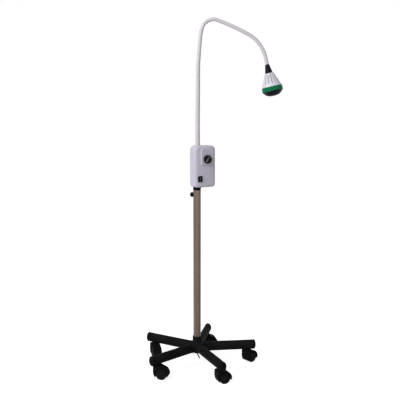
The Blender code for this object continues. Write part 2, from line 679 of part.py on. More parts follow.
def rounded_outline(left, right, bottom, top, low, high):
    """A rectangle with rounded corners, from its sides and the radii of its lower and upper corners."""
    corners = ((right - low, bottom + low, low, -90), (right - high, top - high, high, 0),
               (left + high, top - high, high, 90), (left + low, bottom + low, low, 180))
    outline = []
    for x, y, radius, start in corners:
        outline += [(x + dx, y + dy) for dx, dy in arc(radius, start, start + 90, CORNER_STEPS)]
    return outline


def box_outline(inset):
    """The control box's front view, set in all round."""
    bottom, top = BOX_BOTTOM + inset, BOX_BOTTOM + BOX_HEIGHT - inset
    low, high = BOX_BOTTOM_CORNER - inset, BOX_TOP_CORNER - inset
    return rounded_outline(BOX_LEFT + inset, BOX_RIGHT - inset, bottom, top, low, high)


def case_mesh(name, inset):
    """The control box's rounded case, or its inside when it is set in by the wall."""
    mesh = plate_mesh(name, box_outline(inset), BOX_BACK - BOX_FRONT - 2 * inset)
    middle = Matrix.Translation((0, (BOX_FRONT + BOX_BACK) / 2, 0))
    mesh.transform(middle @ Matrix.Rotation(math.pi / 2, 4, "X"))
    work = bmesh.new()
    work.from_mesh(mesh)
    bmesh.ops.dissolve_limit(work, angle_limit=math.radians(FLAT_ANGLE), verts=work.verts, edges=work.edges)
    rims = [edge for edge in work.edges if edge.calc_face_angle() > math.radians(RIM_ANGLE)]
    bmesh.ops.bevel(work, geom=rims, offset=BOX_ROUNDING - inset, segments=ROUNDING_STEPS, profile=0.5,
                    affect="EDGES")
    work.to_mesh(mesh)
    work.free()
    return mesh


def box_shell(name, box_frame, keep_front):
    """The front cover or the rear housing: the rounded case less its inside and the other half."""
    shell = add_piece(name, case_mesh(name, 0.0), "box_plastic", box_frame)
    inside = case_mesh(f"{name} inside", BOX_WALL)
    boolean(shell, add_helper(f"{name} inside", inside, box_frame), "DIFFERENCE")
    split = BOX_FRONT + COVER_DEPTH
    margin = Vector((CUT_REACH, CUT_REACH, CUT_REACH))
    away_low = Vector((BOX_LEFT, BOX_FRONT, BOX_BOTTOM)) - margin
    away_high = Vector((BOX_RIGHT, BOX_BACK, BOX_BOTTOM + BOX_HEIGHT)) + margin
    if keep_front:
        away_low.y = split - GAP / 2
    else:
        away_high.y = split + GAP / 2
    other_half = box_mesh(f"{name} other half", away_low, away_high)
    boolean(shell, add_helper(f"{name} other half", other_half, box_frame), "DIFFERENCE")
    return shell


def build_box(box_frame):
    cover = box_shell("front_cover", box_frame, True)
    dial = (DIAL_X, BOX_FRONT, DIAL_HEIGHT)
    cut_round(cover, "dial hole", box_frame, BUSHING_HOLE, -CUT_REACH, CUT_REACH, dial, (90, 0, 0))
    half_width, half_height = SWITCH_BODY[0] / 2 + GAP, SWITCH_BODY[1] / 2 + GAP
    cutout_high = Vector((half_width, CUT_REACH, half_height))
    cutout = box_mesh("switch cutout", -cutout_high, cutout_high)
    at_switch = (SWITCH_X, BOX_FRONT, SWITCH_HEIGHT)
    boolean(cover, add_helper("switch cutout", cutout, box_frame, at_switch), "DIFFERENCE")
    housing = box_shell("rear_housing", box_frame, False)
    top = BOX_BOTTOM + BOX_HEIGHT
    tube_foot = (0, 0, BOX_BOTTOM)
    tube_hole = TUBE_RADIUS + RUNNING_GAP
    cut_round(housing, "tube hole", box_frame, tube_hole, -CUT_REACH, CUT_REACH, tube_foot,
              segments=ROUND_STEPS)
    fuse = (FUSE_X, FUSE_Y, BOX_BOTTOM)
    cut_round(housing, "fuse hole", box_frame, FUSE_RADIUS + GAP, -CUT_REACH, CUT_REACH, fuse)
    neck_foot = box_frame.matrix_basis.inverted() @ Vector((*NECK_ROUTE[0][:2], top))
    neck_hole = CORE_RADIUS + RUNNING_GAP
    cut_round(housing, "neck hole", box_frame, neck_hole, -CUT_REACH, CUT_REACH, neck_foot)


def dial_plate_mesh(back, front):
    """The plate round the dial, with its edges sloping in from its back to its front."""
    left, right, bottom, top = DIAL_PLATE
    points = []
    for y, inset in ((back, 0.0), (front, DIAL_PLATE_SLOPE)):
        corner = DIAL_PLATE_CORNER - inset
        outline = rounded_outline(left + inset, right - inset, bottom + inset, top - inset, corner, corner)
        points += [(x, y, z) for x, z in outline]
    count = len(points) // 2
    sides = [(i, i + count, (i + 1) % count + count, (i + 1) % count) for i in range(count)]
    mesh = bpy.data.meshes.new("dial_plate")
    mesh.from_pydata(points, [], [range(count), range(2 * count - 1, count - 1, -1), *sides])
    mesh.flip_normals()
    return mesh


def build_dial(box_frame):
    front = BOX_FRONT - GAP - DIAL_PLATE_THICKNESS
    plate = add_piece("dial_plate", dial_plate_mesh(BOX_FRONT - GAP, front), "plate_plastic", box_frame)
    dial = (DIAL_X, front, DIAL_HEIGHT)
    cut_round(plate, "plate hole", box_frame, BUSHING_HOLE, -CUT_REACH, CUT_REACH, dial, (90, 0, 0))
    build_knob(box_frame, dial)
    body_front = front - BOX_FRONT - BOX_WALL - GAP
    body_back = body_front - POT_DEPTH
    bore = SPINDLE_RADIUS + GAP
    body = ((BUSHING_RADIUS, 0.0), (BUSHING_RADIUS, body_front), (POT_RADIUS, body_front),
            (POT_RADIUS, body_back), (bore, body_back), (bore, 0.0))
    add_turned("potentiometer", body, "steel", box_frame, dial, (90, 0, 0), ring=True, steps=SMALL_STEPS)


def build_knob(box_frame, dial):
    face = RUNNING_GAP + KNOB_SKIRT
    edge_width, edge_depth = KNOB_EDGE
    points = ((0, face), (KNOB_RADIUS - edge_width, face), (KNOB_RADIUS - KNOB_DRAFT, face - edge_depth),
              (KNOB_RADIUS, RUNNING_GAP), (SPINDLE_RADIUS, RUNNING_GAP), (SPINDLE_RADIUS, -SPINDLE_DEPTH),
              (0, -SPINDLE_DEPTH))
    knob = add_turned("dimmer_knob", points, "black_nylon", box_frame, dial, (90, 0, 0))
    grip_reach = KNOB_RADIUS - GRIP_INSET
    grip_low = (-GRIP_HALF_WIDTH, -grip_reach, face - GRIP_SINK)
    grip_high = (GRIP_HALF_WIDTH, grip_reach, face + GRIP_HEIGHT)
    grip = box_mesh("knob grip", grip_low, grip_high, GRIP_ROUNDING, 2)
    grip.transform(Matrix.Rotation(-math.radians(GRIP_TURN), 4, "Z"))
    boolean(knob, add_helper("knob grip", grip, box_frame, dial, (90, 0, 0)), "UNION")


def switch_block(name, size, front, back, rounding=0.0):
    """A block of the switch, from its width and height and the depths of its front and back."""
    width, height = size
    return box_mesh(name, (-width / 2, front, -height / 2), (width / 2, back, height / 2), rounding, 2)


def build_switch(box_frame):
    at_switch = (SWITCH_X, BOX_FRONT, SWITCH_HEIGHT)
    face = -GAP - SWITCH_PROUD
    frame_box = switch_block("switch_frame", SWITCH_FRAME, face, -GAP, SWITCH_EDGE)
    frame = add_piece("switch_frame", frame_box, "black_nylon", box_frame, at_switch)
    body = switch_block("switch body", SWITCH_BODY, face / 2, SWITCH_DEPTH)
    boolean(frame, add_helper("switch body", body, box_frame, at_switch), "UNION")
    window = switch_block("switch window", SWITCH_WINDOW, -CUT_REACH, SWITCH_WINDOW_DEPTH)
    boolean(frame, add_helper("switch window", window, box_frame, at_switch), "DIFFERENCE")
    width, height = ROCKER_SIZE
    end = height / 2
    side = ((-ROCKER_ENDS, -end), (-ROCKER_MIDDLE, 0), (-ROCKER_ENDS, end), (ROCKER_BACK, end),
            (ROCKER_BACK, -end))
    rocker = plate_mesh("rocker", side, width)
    # The side view's x is depth and its y is height, so the plate turns to stand upright across the box.
    rocker.transform(Matrix(((0, 0, 1, 0), (1, 0, 0, 0), (0, 1, 0, 0), (0, 0, 0, 1))))
    pivot = (SWITCH_X, BOX_FRONT + ROCKER_PIVOT, SWITCH_HEIGHT)
    add_piece("switch_rocker", rocker, "rocker_green", box_frame, pivot, (ROCKER_TILT, 0, 0))


def build_box_inside(box_frame):
    back = BOX_BACK - BOX_WALL - GAP
    core_low = Vector((TRANSFORMER_SIDES[0], back - TRANSFORMER_DEPTH, TRANSFORMER_ENDS[0]))
    core_high = Vector((TRANSFORMER_SIDES[1], back, TRANSFORMER_ENDS[1]))
    transformer = add_piece("transformer", box_mesh("transformer", core_low, core_high), "iron", box_frame)
    coil_low = core_low + Vector((COIL_INSET, -COIL_OVERHANG, -COIL_OVERHANG))
    coil_high = core_high + Vector((-COIL_INSET, -COIL_BACK, COIL_OVERHANG))
    coil = box_mesh("transformer coil", coil_low, coil_high, COIL_ROUNDING, 2)
    boolean(transformer, add_helper("transformer coil", coil, box_frame), "UNION")
    board_low = (BOARD_SIDES[0], back - BOARD_THICKNESS, BOARD_ENDS[0])
    board_high = (BOARD_SIDES[1], back, BOARD_ENDS[1])
    add_piece("control_board", box_mesh("control_board", board_low, board_high), "board_green", box_frame)
    cap_edge = FUSE_CAP_EDGE - FUSE_CAP_HEIGHT
    points = ((0, FUSE_DEPTH), (FUSE_RADIUS, FUSE_DEPTH), (FUSE_RADIUS, -GAP), (FUSE_CAP_RADIUS, -GAP),
              (FUSE_CAP_RADIUS, cap_edge), (FUSE_CAP_RADIUS - FUSE_CAP_EDGE, -FUSE_CAP_HEIGHT),
              (0, -FUSE_CAP_HEIGHT))
    fuse = (FUSE_X, FUSE_Y, BOX_BOTTOM)
    add_turned("fuse_holder", points, "black_nylon", box_frame, fuse, steps=SMALL_STEPS)


def sleeve_radius(distance):
    share = min(1.0, distance / SLEEVE_TAPER)
    return SLEEVE_FOOT_RADIUS + (SLEEVE_HEAD_RADIUS - SLEEVE_FOOT_RADIUS) * share


def build_neck(stand, route):
    socket_top = BOX_BOTTOM + BOX_HEIGHT - BOX_WALL - NECK_SOCKET_SEAT
    socket_bottom = socket_top - NECK_SOCKET_HEIGHT
    foot = (*NECK_ROUTE[0][:2], 0)
    socket = ring_profile(CORE_RADIUS + GAP, NECK_SOCKET_RADIUS, socket_bottom, socket_top)
    add_turned("neck_socket", socket, "steel", stand, foot, ring=True, steps=SMALL_STEPS)
    bends = [route.at(distance) for distance in NECK_JOINTS]
    starts = [-CORE_IN_BOX] + [distance + CORE_SETBACK for distance in NECK_JOINTS]
    ends = [distance - CORE_SETBACK for distance in NECK_JOINTS] + [route.length + CORE_IN_HEAD]
    origins = [route.at(0.0)] + bends
    for number, (start, end, origin) in enumerate(zip(starts, ends, origins), 1):
        distances = spread(start, end, BENT_SPACING if number > 2 else STRAIGHT_SPACING)
        points = [route.at(distance) for distance in distances]
        radii = [CORE_RADIUS] * len(points)
        name = f"neck_core_{number}"
        add_tube(name, "steel", points, radii, CORE_WALL, CORE_SIDES_LEVEL, stand, origin)
    sleeve_ends = [route.length if distance is None else distance for distance in SLEEVE_ENDS]
    for number, (start, end, origin) in enumerate(zip(sleeve_ends, sleeve_ends[1:], bends), 1):
        distances = spread(start + GAP, end - GAP, BENT_SPACING if number > 2 else STRAIGHT_SPACING)
        points = [route.at(distance) for distance in distances]
        radii = [sleeve_radius(distance) for distance in distances]
        name = f"neck_sleeve_{number}"
        add_tube(name, "neck_sleeve", points, radii, SLEEVE_WALL, SLEEVE_SIDES_LEVEL, stand, origin)


def build_head(stand, route):
    direction = route.end_direction()
    head = add_empty("head frame", stand, route.at(route.length))
    head.rotation_euler = direction.to_track_quat("-Z", "X").to_euler()
    add_turned("head_collar", head_profile(COLLAR_OUTER, COLLAR_INNER), "black_nylon", head, ring=True)
    shell = head_profile(SHELL_OUTER, SHELL_INNER)
    add_turned("head_shell", shell, "white_plastic", head, ring=True, steps=HEAD_STEPS)
    ring = head_profile(RING_OUTER, RING_INNER)
    add_turned("head_ring", ring, "green_plastic", head, ring=True, steps=HEAD_STEPS)
    bezel = head_profile(BEZEL_OUTER, BEZEL_INNER)
    add_turned("head_bezel", bezel, "black_nylon", head, ring=True, steps=HEAD_STEPS)
    add_turned("front_lens", head_profile(LENS_PROFILE), "glass", head, steps=HEAD_STEPS)
    add_turned("reflector", head_profile(REFLECTOR_OUTER, REFLECTOR_INNER), "aluminium", head, ring=True)
    add_turned("halogen_lamp", head_profile(LAMP_PROFILE), "ceramic", head, steps=SMALL_STEPS)


def build_lamp():
    stand = add_empty("stand", None, (POLE_X, POLE_Y, 0))
    build_hub(stand)
    build_lead_sleeve(stand)
    plug, fork, wheel = plug_mesh(), fork_mesh(), wheel_mesh()
    for number in range(1, LEG_COUNT + 1):
        build_leg(number, stand, plug)
        build_caster(number, stand, fork, wheel)
    build_pole(stand)
    build_clamp_knob(stand)
    build_inner_tube(stand)
    box_frame = add_empty("box frame", stand, (0, 0, 0), (0, 0, BOX_TURN))
    bpy.context.view_layer.update()
    build_box(box_frame)
    build_dial(box_frame)
    build_switch(box_frame)
    build_box_inside(box_frame)
    route = Route(NECK_ROUTE)
    build_neck(stand, route)
    build_head(stand, route)
    bpy.context.view_layer.update()


build_lamp()
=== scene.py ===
import json
import math

import bmesh
import bpy
import numpy as np
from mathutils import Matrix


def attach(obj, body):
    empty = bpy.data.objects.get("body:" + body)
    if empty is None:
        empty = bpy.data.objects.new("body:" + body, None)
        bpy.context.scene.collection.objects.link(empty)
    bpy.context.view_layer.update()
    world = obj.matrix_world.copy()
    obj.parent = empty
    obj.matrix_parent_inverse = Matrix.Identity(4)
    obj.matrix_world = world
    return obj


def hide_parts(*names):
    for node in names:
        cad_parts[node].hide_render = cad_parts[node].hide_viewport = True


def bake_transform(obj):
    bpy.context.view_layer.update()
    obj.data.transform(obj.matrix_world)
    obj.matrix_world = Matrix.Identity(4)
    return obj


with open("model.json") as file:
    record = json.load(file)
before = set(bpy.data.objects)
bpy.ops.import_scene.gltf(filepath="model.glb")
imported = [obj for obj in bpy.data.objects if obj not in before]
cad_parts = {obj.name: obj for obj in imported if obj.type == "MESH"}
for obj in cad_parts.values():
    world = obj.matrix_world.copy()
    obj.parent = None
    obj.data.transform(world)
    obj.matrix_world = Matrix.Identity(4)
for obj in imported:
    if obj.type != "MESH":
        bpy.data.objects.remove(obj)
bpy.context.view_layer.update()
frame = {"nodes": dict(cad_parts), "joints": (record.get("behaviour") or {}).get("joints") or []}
print("frame loaded:", len(frame["nodes"]), "nodes")

joints = {joint["name"]: joint for joint in frame["joints"]}
upward = np.array((0.0, 0.0, 1.0))
toCamera = np.array((0.0, -1.0, 0.0))
poleAxis = np.array(joints["box_swivel"]["pos_m"]) * (1, 1, 0)
casterNumbers = range(1, 6)


# camera, before anything else

cameraSettings = {
    "fromPole": (0.0133, -2.887, 1.1745),  # metres from the foot of the pole's axis
    "pitch": 8.0,  # degrees below level
    "focalPixels": 652.0,  # in the photograph's frame
    "framePixels": 400.0,
    "sensor": 36.0,
}


def makeCamera(settings):
    camera = bpy.data.objects.new("camera", bpy.data.cameras.new("camera"))
    bpy.context.scene.collection.objects.link(camera)
    camera.location = poleAxis + settings["fromPole"]
    camera.rotation_euler = (math.radians(90 - settings["pitch"]), 0, 0)
    camera.data.sensor_width = settings["sensor"]
    camera.data.lens = settings["focalPixels"] / settings["framePixels"] * settings["sensor"]
    camera.data.clip_end = 200
    bpy.context.scene.camera = camera


makeCamera(cameraSettings)
print("camera set")


# surfaces

def unit(vectors):
    return vectors / np.linalg.norm(vectors, axis=-1, keepdims=True)


# Every inner corner of a line of points becomes a parabola from one of its sides to the other, at most
# "reach" long on each side. A closed line starts and ends on the same point, which is softened as well.
def softened(points, reach, steps=5, closed=False):
    points = np.array(points, float)
    if closed:
        points = np.vstack([points[-2:-1], points, points[1:2]])
    before, corner, after = points[:-2], points[1:-1], points[2:]
    back, ahead = before - corner, after - corner
    room = np.minimum(np.linalg.norm(back, axis=1), np.linalg.norm(ahead, axis=1)) * 0.48
    size = np.minimum(np.broadcast_to(reach, room.shape), room)[:, None]
    start, end = corner + unit(back) * size, corner + unit(ahead) * size
    t = np.linspace(0, 1, steps + 1)[None, :, None]
    curves = (1 - t) ** 2 * start[:, None] + 2 * t * (1 - t) * corner[:, None] + t ** 2 * end[:, None]
    if closed:
        line = curves[:-1].reshape(-1, points.shape[1])
        return np.vstack([line, line[:1]])
    return np.vstack([points[:1], curves.reshape(-1, points.shape[1]), points[-1:]])


# A rounded rectangle: four quarter circles joined by straight sides, ending on its first point. The lower
# and the upper corners each have a radius.
def roundedRectangle(left, right, bottom, top, corner, steps=10):
    low, high = corner
    radius = np.array((low, high, high, low))
    centres = np.array([(right - low, bottom + low), (right - high, top - high),
                        (left + high, top - high), (left + low, bottom + low)])
    angles = np.radians(np.array([-90, 0, 90, 180])[:, None] + np.linspace(0, 90, steps + 1))
    ring = centres[:, None] + radius[:, None, None] * np.stack([np.cos(angles), np.sin(angles)], axis=-1)
    ring = ring.reshape(-1, 2)
    return np.vstack([ring, ring[:1]])


# Two directions square to an axis, the first one as near to "facing" as it can be.
def crossAxes(axis, facing):
    first = unit(facing - axis * np.dot(facing, axis))
    return first, np.cross(axis, first)


# A turned surface: each point (radius, height) of the profile is carried round the axis. "wave" may
# change the radius, as a function of the angle and the profile's row.
def turned(profile, origin, axis, facing=toCamera, steps=64, wave=None):
    radius, height = np.array(profile, float).T
    axis = unit(np.array(axis, float))
    first, second = crossAxes(axis, np.array(facing, float))
    angle = np.linspace(0, 2 * np.pi, steps + 1)
    spread = np.repeat(radius[:, None], steps + 1, axis=1)
    if wave is not None:
        spread = wave(angle[None, :], spread, height[:, None])
    circle = np.cos(angle)[:, None] * first + np.sin(angle)[:, None] * second
    return np.array(origin) + height[:, None, None] * axis + spread[..., None] * circle


# Points of a smooth curve through the controls, each span a cubic whose slopes at its two ends follow
# the neighbouring controls.
def smoothPath(controls, steps=48):
    controls = np.array(controls, float)
    knots = np.vstack([2 * controls[0] - controls[1], controls, 2 * controls[-1] - controls[-2]])
    before, start, end, after = (knots[k:len(knots) - 3 + k, None] for k in range(4))
    t = np.linspace(0, 1, steps, endpoint=False)[None, :, None]
    bend = 2 * before - 5 * start + 4 * end - after
    twist = 3 * start - before - 3 * end + after
    points = (2 * start + (end - before) * t + bend * t ** 2 + twist * t ** 3) / 2
    return np.vstack([points.reshape(-1, 3), knots[-2]])


# A point of a path at each distance along it.
def alongPath(path, distances):
    travelled = np.concatenate([[0], np.cumsum(np.linalg.norm(np.diff(path, axis=0), axis=1))])
    return np.stack([np.interp(distances, travelled, path[:, k]) for k in range(3)], axis=-1)


def pathLength(path):
    return np.linalg.norm(np.diff(path, axis=0), axis=1).sum()


# A hollow tube: circles square to the path, out along its outer radius and back along its inner one.
def hollowTube(path, outer, inner, steps=40):
    tangent = unit(np.gradient(path, axis=0))
    first = unit(np.cross(np.array((0.0, 1.0, 0.0)), tangent))
    second = np.cross(tangent, first)
    angle = np.linspace(0, 2 * np.pi, steps + 1)[None, :, None]
    circles = np.cos(angle) * first[:, None] + np.sin(angle) * second[:, None]
    outside = path[:, None] + outer[:, None, None] * circles
    inside = (path[:, None] + inner[:, None, None] * circles)[::-1]
    return np.vstack([outside, inside, outside[:1]])


# A flat plate with rounded rims: the outline moves in along its normals by r (1 - cos a) while its
# distance from the middle plane grows to half the width less r (1 - sin a).
def plateRows(outline, halfWidth, rounding, steps=5):
    sides = np.roll(outline[:-1], -1, axis=0) - np.roll(outline[:-1], 1, axis=0)
    inward = unit(np.stack([-sides[:, 1], sides[:, 0]], axis=-1))
    inward = np.vstack([inward, inward[:1]])
    rounding = np.broadcast_to(np.array(rounding, float), (len(outline),))[None, :, None]
    a = np.radians(np.linspace(0, 90, steps + 1))[:, None, None]
    flat = outline[None] + inward[None] * rounding * (1 - np.cos(a))
    depth = np.broadcast_to(halfWidth - rounding * (1 - np.sin(a)), flat.shape[:2] + (1,))
    front = np.concatenate([flat, depth], axis=-1)
    back = front[::-1] * (1, 1, -1)
    return np.vstack([back, front])


# meshes from grids

def gridQuads(rows, columns, start):
    index = np.arange(rows * columns).reshape(rows, columns) + start
    quads = np.stack([index[:-1, :-1], index[:-1, 1:], index[1:, 1:], index[1:, :-1]], axis=-1)
    return quads.reshape(-1, 4).tolist()


# Grids of points become quads. Rows and columns that meet are welded, which closes seams and poles.
def meshFromGrids(name, grids, capped=False, sharpAngle=38, uv=None, marks=None):
    points = np.vstack([grid.reshape(-1, 3) for grid in grids])
    faces, start = [], 0
    for grid in grids:
        rows, columns = grid.shape[:2]
        faces += gridQuads(rows, columns, start)
        if capped:
            faces.append((start + np.arange(columns - 1)).tolist())
            faces.append((start + (rows - 1) * columns + np.arange(columns - 1)).tolist())
        start += rows * columns
    mesh = bpy.data.meshes.new(name)
    mesh.from_pydata(points.tolist(), [], faces)
    if uv is not None:
        corner = np.empty(len(mesh.loops), dtype=np.int32)
        mesh.loops.foreach_get("vertex_index", corner)
        layer = mesh.uv_layers.new(name="surface")
        layer.uv.foreach_set("vector", uv.reshape(-1, 2)[corner].astype(np.float32).ravel())
    for label, values in (marks or {}).items():
        layer = mesh.attributes.new(label, "FLOAT", "POINT")
        layer.data.foreach_set("value", values.astype(np.float32).ravel())
    work = bmesh.new()
    work.from_mesh(mesh)
    bmesh.ops.remove_doubles(work, verts=work.verts, dist=2e-6)
    bmesh.ops.recalc_face_normals(work, faces=work.faces)
    work.to_mesh(mesh)
    work.free()
    mesh.shade_smooth()
    mesh.set_sharp_from_angle(angle=math.radians(sharpAngle))
    return mesh


def newObject(name, mesh, finish):
    piece = bpy.data.objects.new(name, mesh)
    bpy.context.scene.collection.objects.link(piece)
    piece.data.materials.append(finish)
    return piece


def addPiece(name, grids, finish, body, slot, stands=(), **shape):
    grids = grids if isinstance(grids, list) else [grids]
    piece = newObject(name, meshFromGrids(name, grids, **shape), finish)
    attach(piece, body)
    if stands:
        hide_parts(*stands)
    return piece


# finishes

def newMaterial(name, look):
    material = bpy.data.materials.new(name)
    material.use_nodes = True
    shader = material.node_tree.nodes["Principled BSDF"]
    for socket in ("Metallic", "IOR", "Specular IOR Level", "Coat Weight", "Coat Roughness", "Transmission Weight"):
        if socket in look:
            shader.inputs[socket].default_value = look[socket]
    return material, material.node_tree, shader


def addNode(tree, kind, **values):
    node = tree.nodes.new(kind)
    for key, value in values.items():
        if key in node.inputs:
            node.inputs[key].default_value = value
        else:
            setattr(node, key, value)
    return node


# Noise on the piece's own metres, stretched by "stretch" along X, Y and Z.
def addNoise(tree, scale, detail=3.0, stretch=(1, 1, 1), turn=0.0):
    coords = addNode(tree, "ShaderNodeTexCoord")
    mapping = addNode(tree, "ShaderNodeMapping", Scale=stretch, Rotation=(0, 0, turn))
    noise = addNode(tree, "ShaderNodeTexNoise", Scale=scale, Detail=detail)
    tree.links.new(coords.outputs["Object"], mapping.inputs["Vector"])
    tree.links.new(mapping.outputs["Vector"], noise.inputs["Vector"])
    return noise.outputs["Fac"]


def addRamp(tree, value, stops):
    ramp = addNode(tree, "ShaderNodeValToRGB")
    elements = ramp.color_ramp.elements
    while len(elements) < len(stops):
        elements.new(1.0)
    for element, (place, colour) in zip(elements, stops):
        element.position = place
        element.color = (*colour, 1.0)
    tree.links.new(value, ramp.inputs["Fac"])
    return ramp.outputs["Color"]


def addRange(tree, value, low, high, fromLow=0.3, fromHigh=0.7):
    node = addNode(tree, "ShaderNodeMapRange")
    for socket, number in (("From Min", fromLow), ("From Max", fromHigh), ("To Min", low), ("To Max", high)):
        node.inputs[socket].default_value = number
    tree.links.new(value, node.inputs["Value"])
    return node.outputs["Result"]


def mixColour(tree, factor, first, second):
    node = addNode(tree, "ShaderNodeMix", data_type="RGBA")
    tree.links.new(factor, node.inputs[0])
    for socket, colour in ((node.inputs[6], first), (node.inputs[7], second)):
        if isinstance(colour, tuple):
            socket.default_value = (*colour, 1.0)
        else:
            tree.links.new(colour, socket)
    return node.outputs[2]


def addBump(tree, shader, height, strength, distance):
    bump = addNode(tree, "ShaderNodeBump", Strength=strength, Distance=distance)
    tree.links.new(height, bump.inputs["Height"])
    tree.links.new(bump.outputs["Normal"], shader.inputs["Normal"])


# A moulded or coated finish: slow blotches between two colours, patchy gloss and a fine grain.
def grainedFinish(name, look):
    material, tree, shader = newMaterial(name, look)
    stretch = look.get("stretch", (1, 1, 1))
    blotch = addNoise(tree, look["blotchScale"], 4.0, stretch)
    colour = addRamp(tree, blotch, ((0.32, look["colour"]), (0.70, look["shade"])))
    tree.links.new(colour, shader.inputs["Base Color"])
    gloss = addNoise(tree, look["glossScale"], 3.0, stretch)
    low, high = look["roughness"]
    tree.links.new(addRange(tree, gloss, low, high), shader.inputs["Roughness"])
    grain = addNoise(tree, look["grainScale"], 2.0, stretch)
    addBump(tree, shader, grain, look["grain"], look["grainDepth"])
    return material, tree, shader, colour


def plainGrained(name, look):
    return grainedFinish(name, look)[0]


blackCoatLook = {"colour": (0.0088, 0.0089, 0.0098), "shade": (0.0140, 0.0142, 0.0152), "roughness": (0.44, 0.58),
                 "blotchScale": 26, "glossScale": 60, "grainScale": 1500, "grain": 0.35, "grainDepth": 0.0002,
                 "Specular IOR Level": 0.008}
blackNylonLook = {"colour": (0.0066, 0.0067, 0.0070), "shade": (0.0108, 0.0109, 0.0113), "roughness": (0.42, 0.58),
                  "blotchScale": 40, "glossScale": 90, "grainScale": 2600, "grain": 0.30, "grainDepth": 0.0001,
                  "Specular IOR Level": 0.010}
knobBlackLook = {"colour": (0.0034, 0.0033, 0.0036), "shade": (0.0060, 0.0058, 0.0060), "roughness": (0.20, 0.30),
                 "blotchScale": 70, "glossScale": 160, "grainScale": 3000, "grain": 0.15, "grainDepth": 0.00006,
                 "Specular IOR Level": 0.03}
dialKnobLook = dict(knobBlackLook, **{"roughness": (0.16, 0.24), "Specular IOR Level": 0.06})
gripLook = dict(knobBlackLook, **{"roughness": (0.20, 0.26), "Specular IOR Level": 0.15})
collarNavyLook = {"colour": (0.0045, 0.0048, 0.0088), "shade": (0.0080, 0.0084, 0.0140), "roughness": (0.30, 0.44),
                  "stretch": (1, 1, 0.3), "blotchScale": 120, "glossScale": 120, "grainScale": 2400, "grain": 0.20,
                  "grainDepth": 0.00008, "Specular IOR Level": 0.06}
blackSteelLook = {"colour": (0.010, 0.010, 0.011), "shade": (0.018, 0.018, 0.019), "roughness": (0.36, 0.50),
                  "blotchScale": 400, "glossScale": 500, "grainScale": 3000, "grain": 0.15, "grainDepth": 0.00004,
                  "Specular IOR Level": 0.10}
rubberLook = {"colour": (0.006, 0.006, 0.006), "shade": (0.011, 0.0105, 0.010), "roughness": (0.62, 0.80),
              "blotchScale": 60, "glossScale": 140, "grainScale": 2200, "grain": 0.35, "grainDepth": 0.0001,
              "Specular IOR Level": 0.06}
boxPlasticLook = {"colour": (0.614, 0.576, 0.688), "shade": (0.640, 0.603, 0.715), "roughness": (0.40, 0.52),
                  "blotchScale": 14, "glossScale": 50, "grainScale": 2400, "grain": 0.22, "grainDepth": 0.00008}
platePlasticLook = {"colour": (0.567, 0.532, 0.628), "shade": (0.598, 0.564, 0.662), "roughness": (0.38, 0.50),
                    "blotchScale": 22, "glossScale": 70, "grainScale": 2800, "grain": 0.18, "grainDepth": 0.00006}
# the shell's last colour is painted shade, laid into the bottoms of its flutes
whiteShellLook = {"colour": (0.735, 0.715, 0.785), "shade": (0.765, 0.745, 0.815), "roughness": (0.32, 0.44),
                  "blotchScale": 30, "glossScale": 80, "grainScale": 2600, "grain": 0.12, "grainDepth": 0.00006,
                  "paintedGrooveShade": (0.230, 0.222, 0.262)}
greenRingLook = {"colour": (0.003, 0.150, 0.060), "shade": (0.006, 0.180, 0.075), "roughness": (0.24, 0.36),
                 "blotchScale": 45, "glossScale": 90, "grainScale": 2600, "grain": 0.14, "grainDepth": 0.00006,
                 "Specular IOR Level": 0.10}
rockerLook = {"colour": (0.0022, 0.0130, 0.0150), "shade": (0.0035, 0.0190, 0.0205), "roughness": (0.18, 0.28),
              "blotchScale": 120, "glossScale": 200, "grainScale": 3000, "grain": 0.08, "grainDepth": 0.00004,
              "Specular IOR Level": 0.05}
markLook = {"colour": (0.230, 0.330, 0.320), "shade": (0.270, 0.370, 0.360), "roughness": (0.40, 0.52),
            "blotchScale": 200, "glossScale": 300, "grainScale": 4000, "grain": 0.10, "grainDepth": 0.00003}
inkLook = {"colour": (0.060, 0.055, 0.065), "shade": (0.085, 0.080, 0.090), "roughness": (0.45, 0.60),
           "blotchScale": 200, "glossScale": 300, "grainScale": 4000, "grain": 0.10, "grainDepth": 0.00003}
ceramicLook = {"colour": (0.740, 0.715, 0.660), "shade": (0.790, 0.765, 0.710), "roughness": (0.50, 0.65),
               "blotchScale": 90, "glossScale": 150, "grainScale": 2500, "grain": 0.25, "grainDepth": 0.00008}
boardLook = {"colour": (0.018, 0.110, 0.045), "shade": (0.028, 0.150, 0.062), "roughness": (0.35, 0.55),
             "blotchScale": 180, "glossScale": 260, "grainScale": 900, "grain": 0.30, "grainDepth": 0.00008}
windingLook = {"colour": (0.170, 0.080, 0.035), "shade": (0.110, 0.105, 0.100), "roughness": (0.40, 0.60),
               "stretch": (1, 1, 14), "blotchScale": 50, "glossScale": 120, "grainScale": 160, "grain": 0.5,
               "grainDepth": 0.0003, "Metallic": 0.6}
steelLook = {"colour": (0.470, 0.470, 0.480), "shade": (0.560, 0.560, 0.565), "roughness": (0.26, 0.42),
             "stretch": (1, 1, 0.06), "blotchScale": 420, "glossScale": 300, "grainScale": 1600, "grain": 0.12,
             "grainDepth": 0.00005, "Metallic": 1.0}
reflectorLook = {"colour": (0.720, 0.720, 0.730), "shade": (0.800, 0.800, 0.805), "roughness": (0.10, 0.20),
                 "blotchScale": 120, "glossScale": 240, "grainScale": 900, "grain": 0.10, "grainDepth": 0.00005,
                 "Metallic": 1.0}

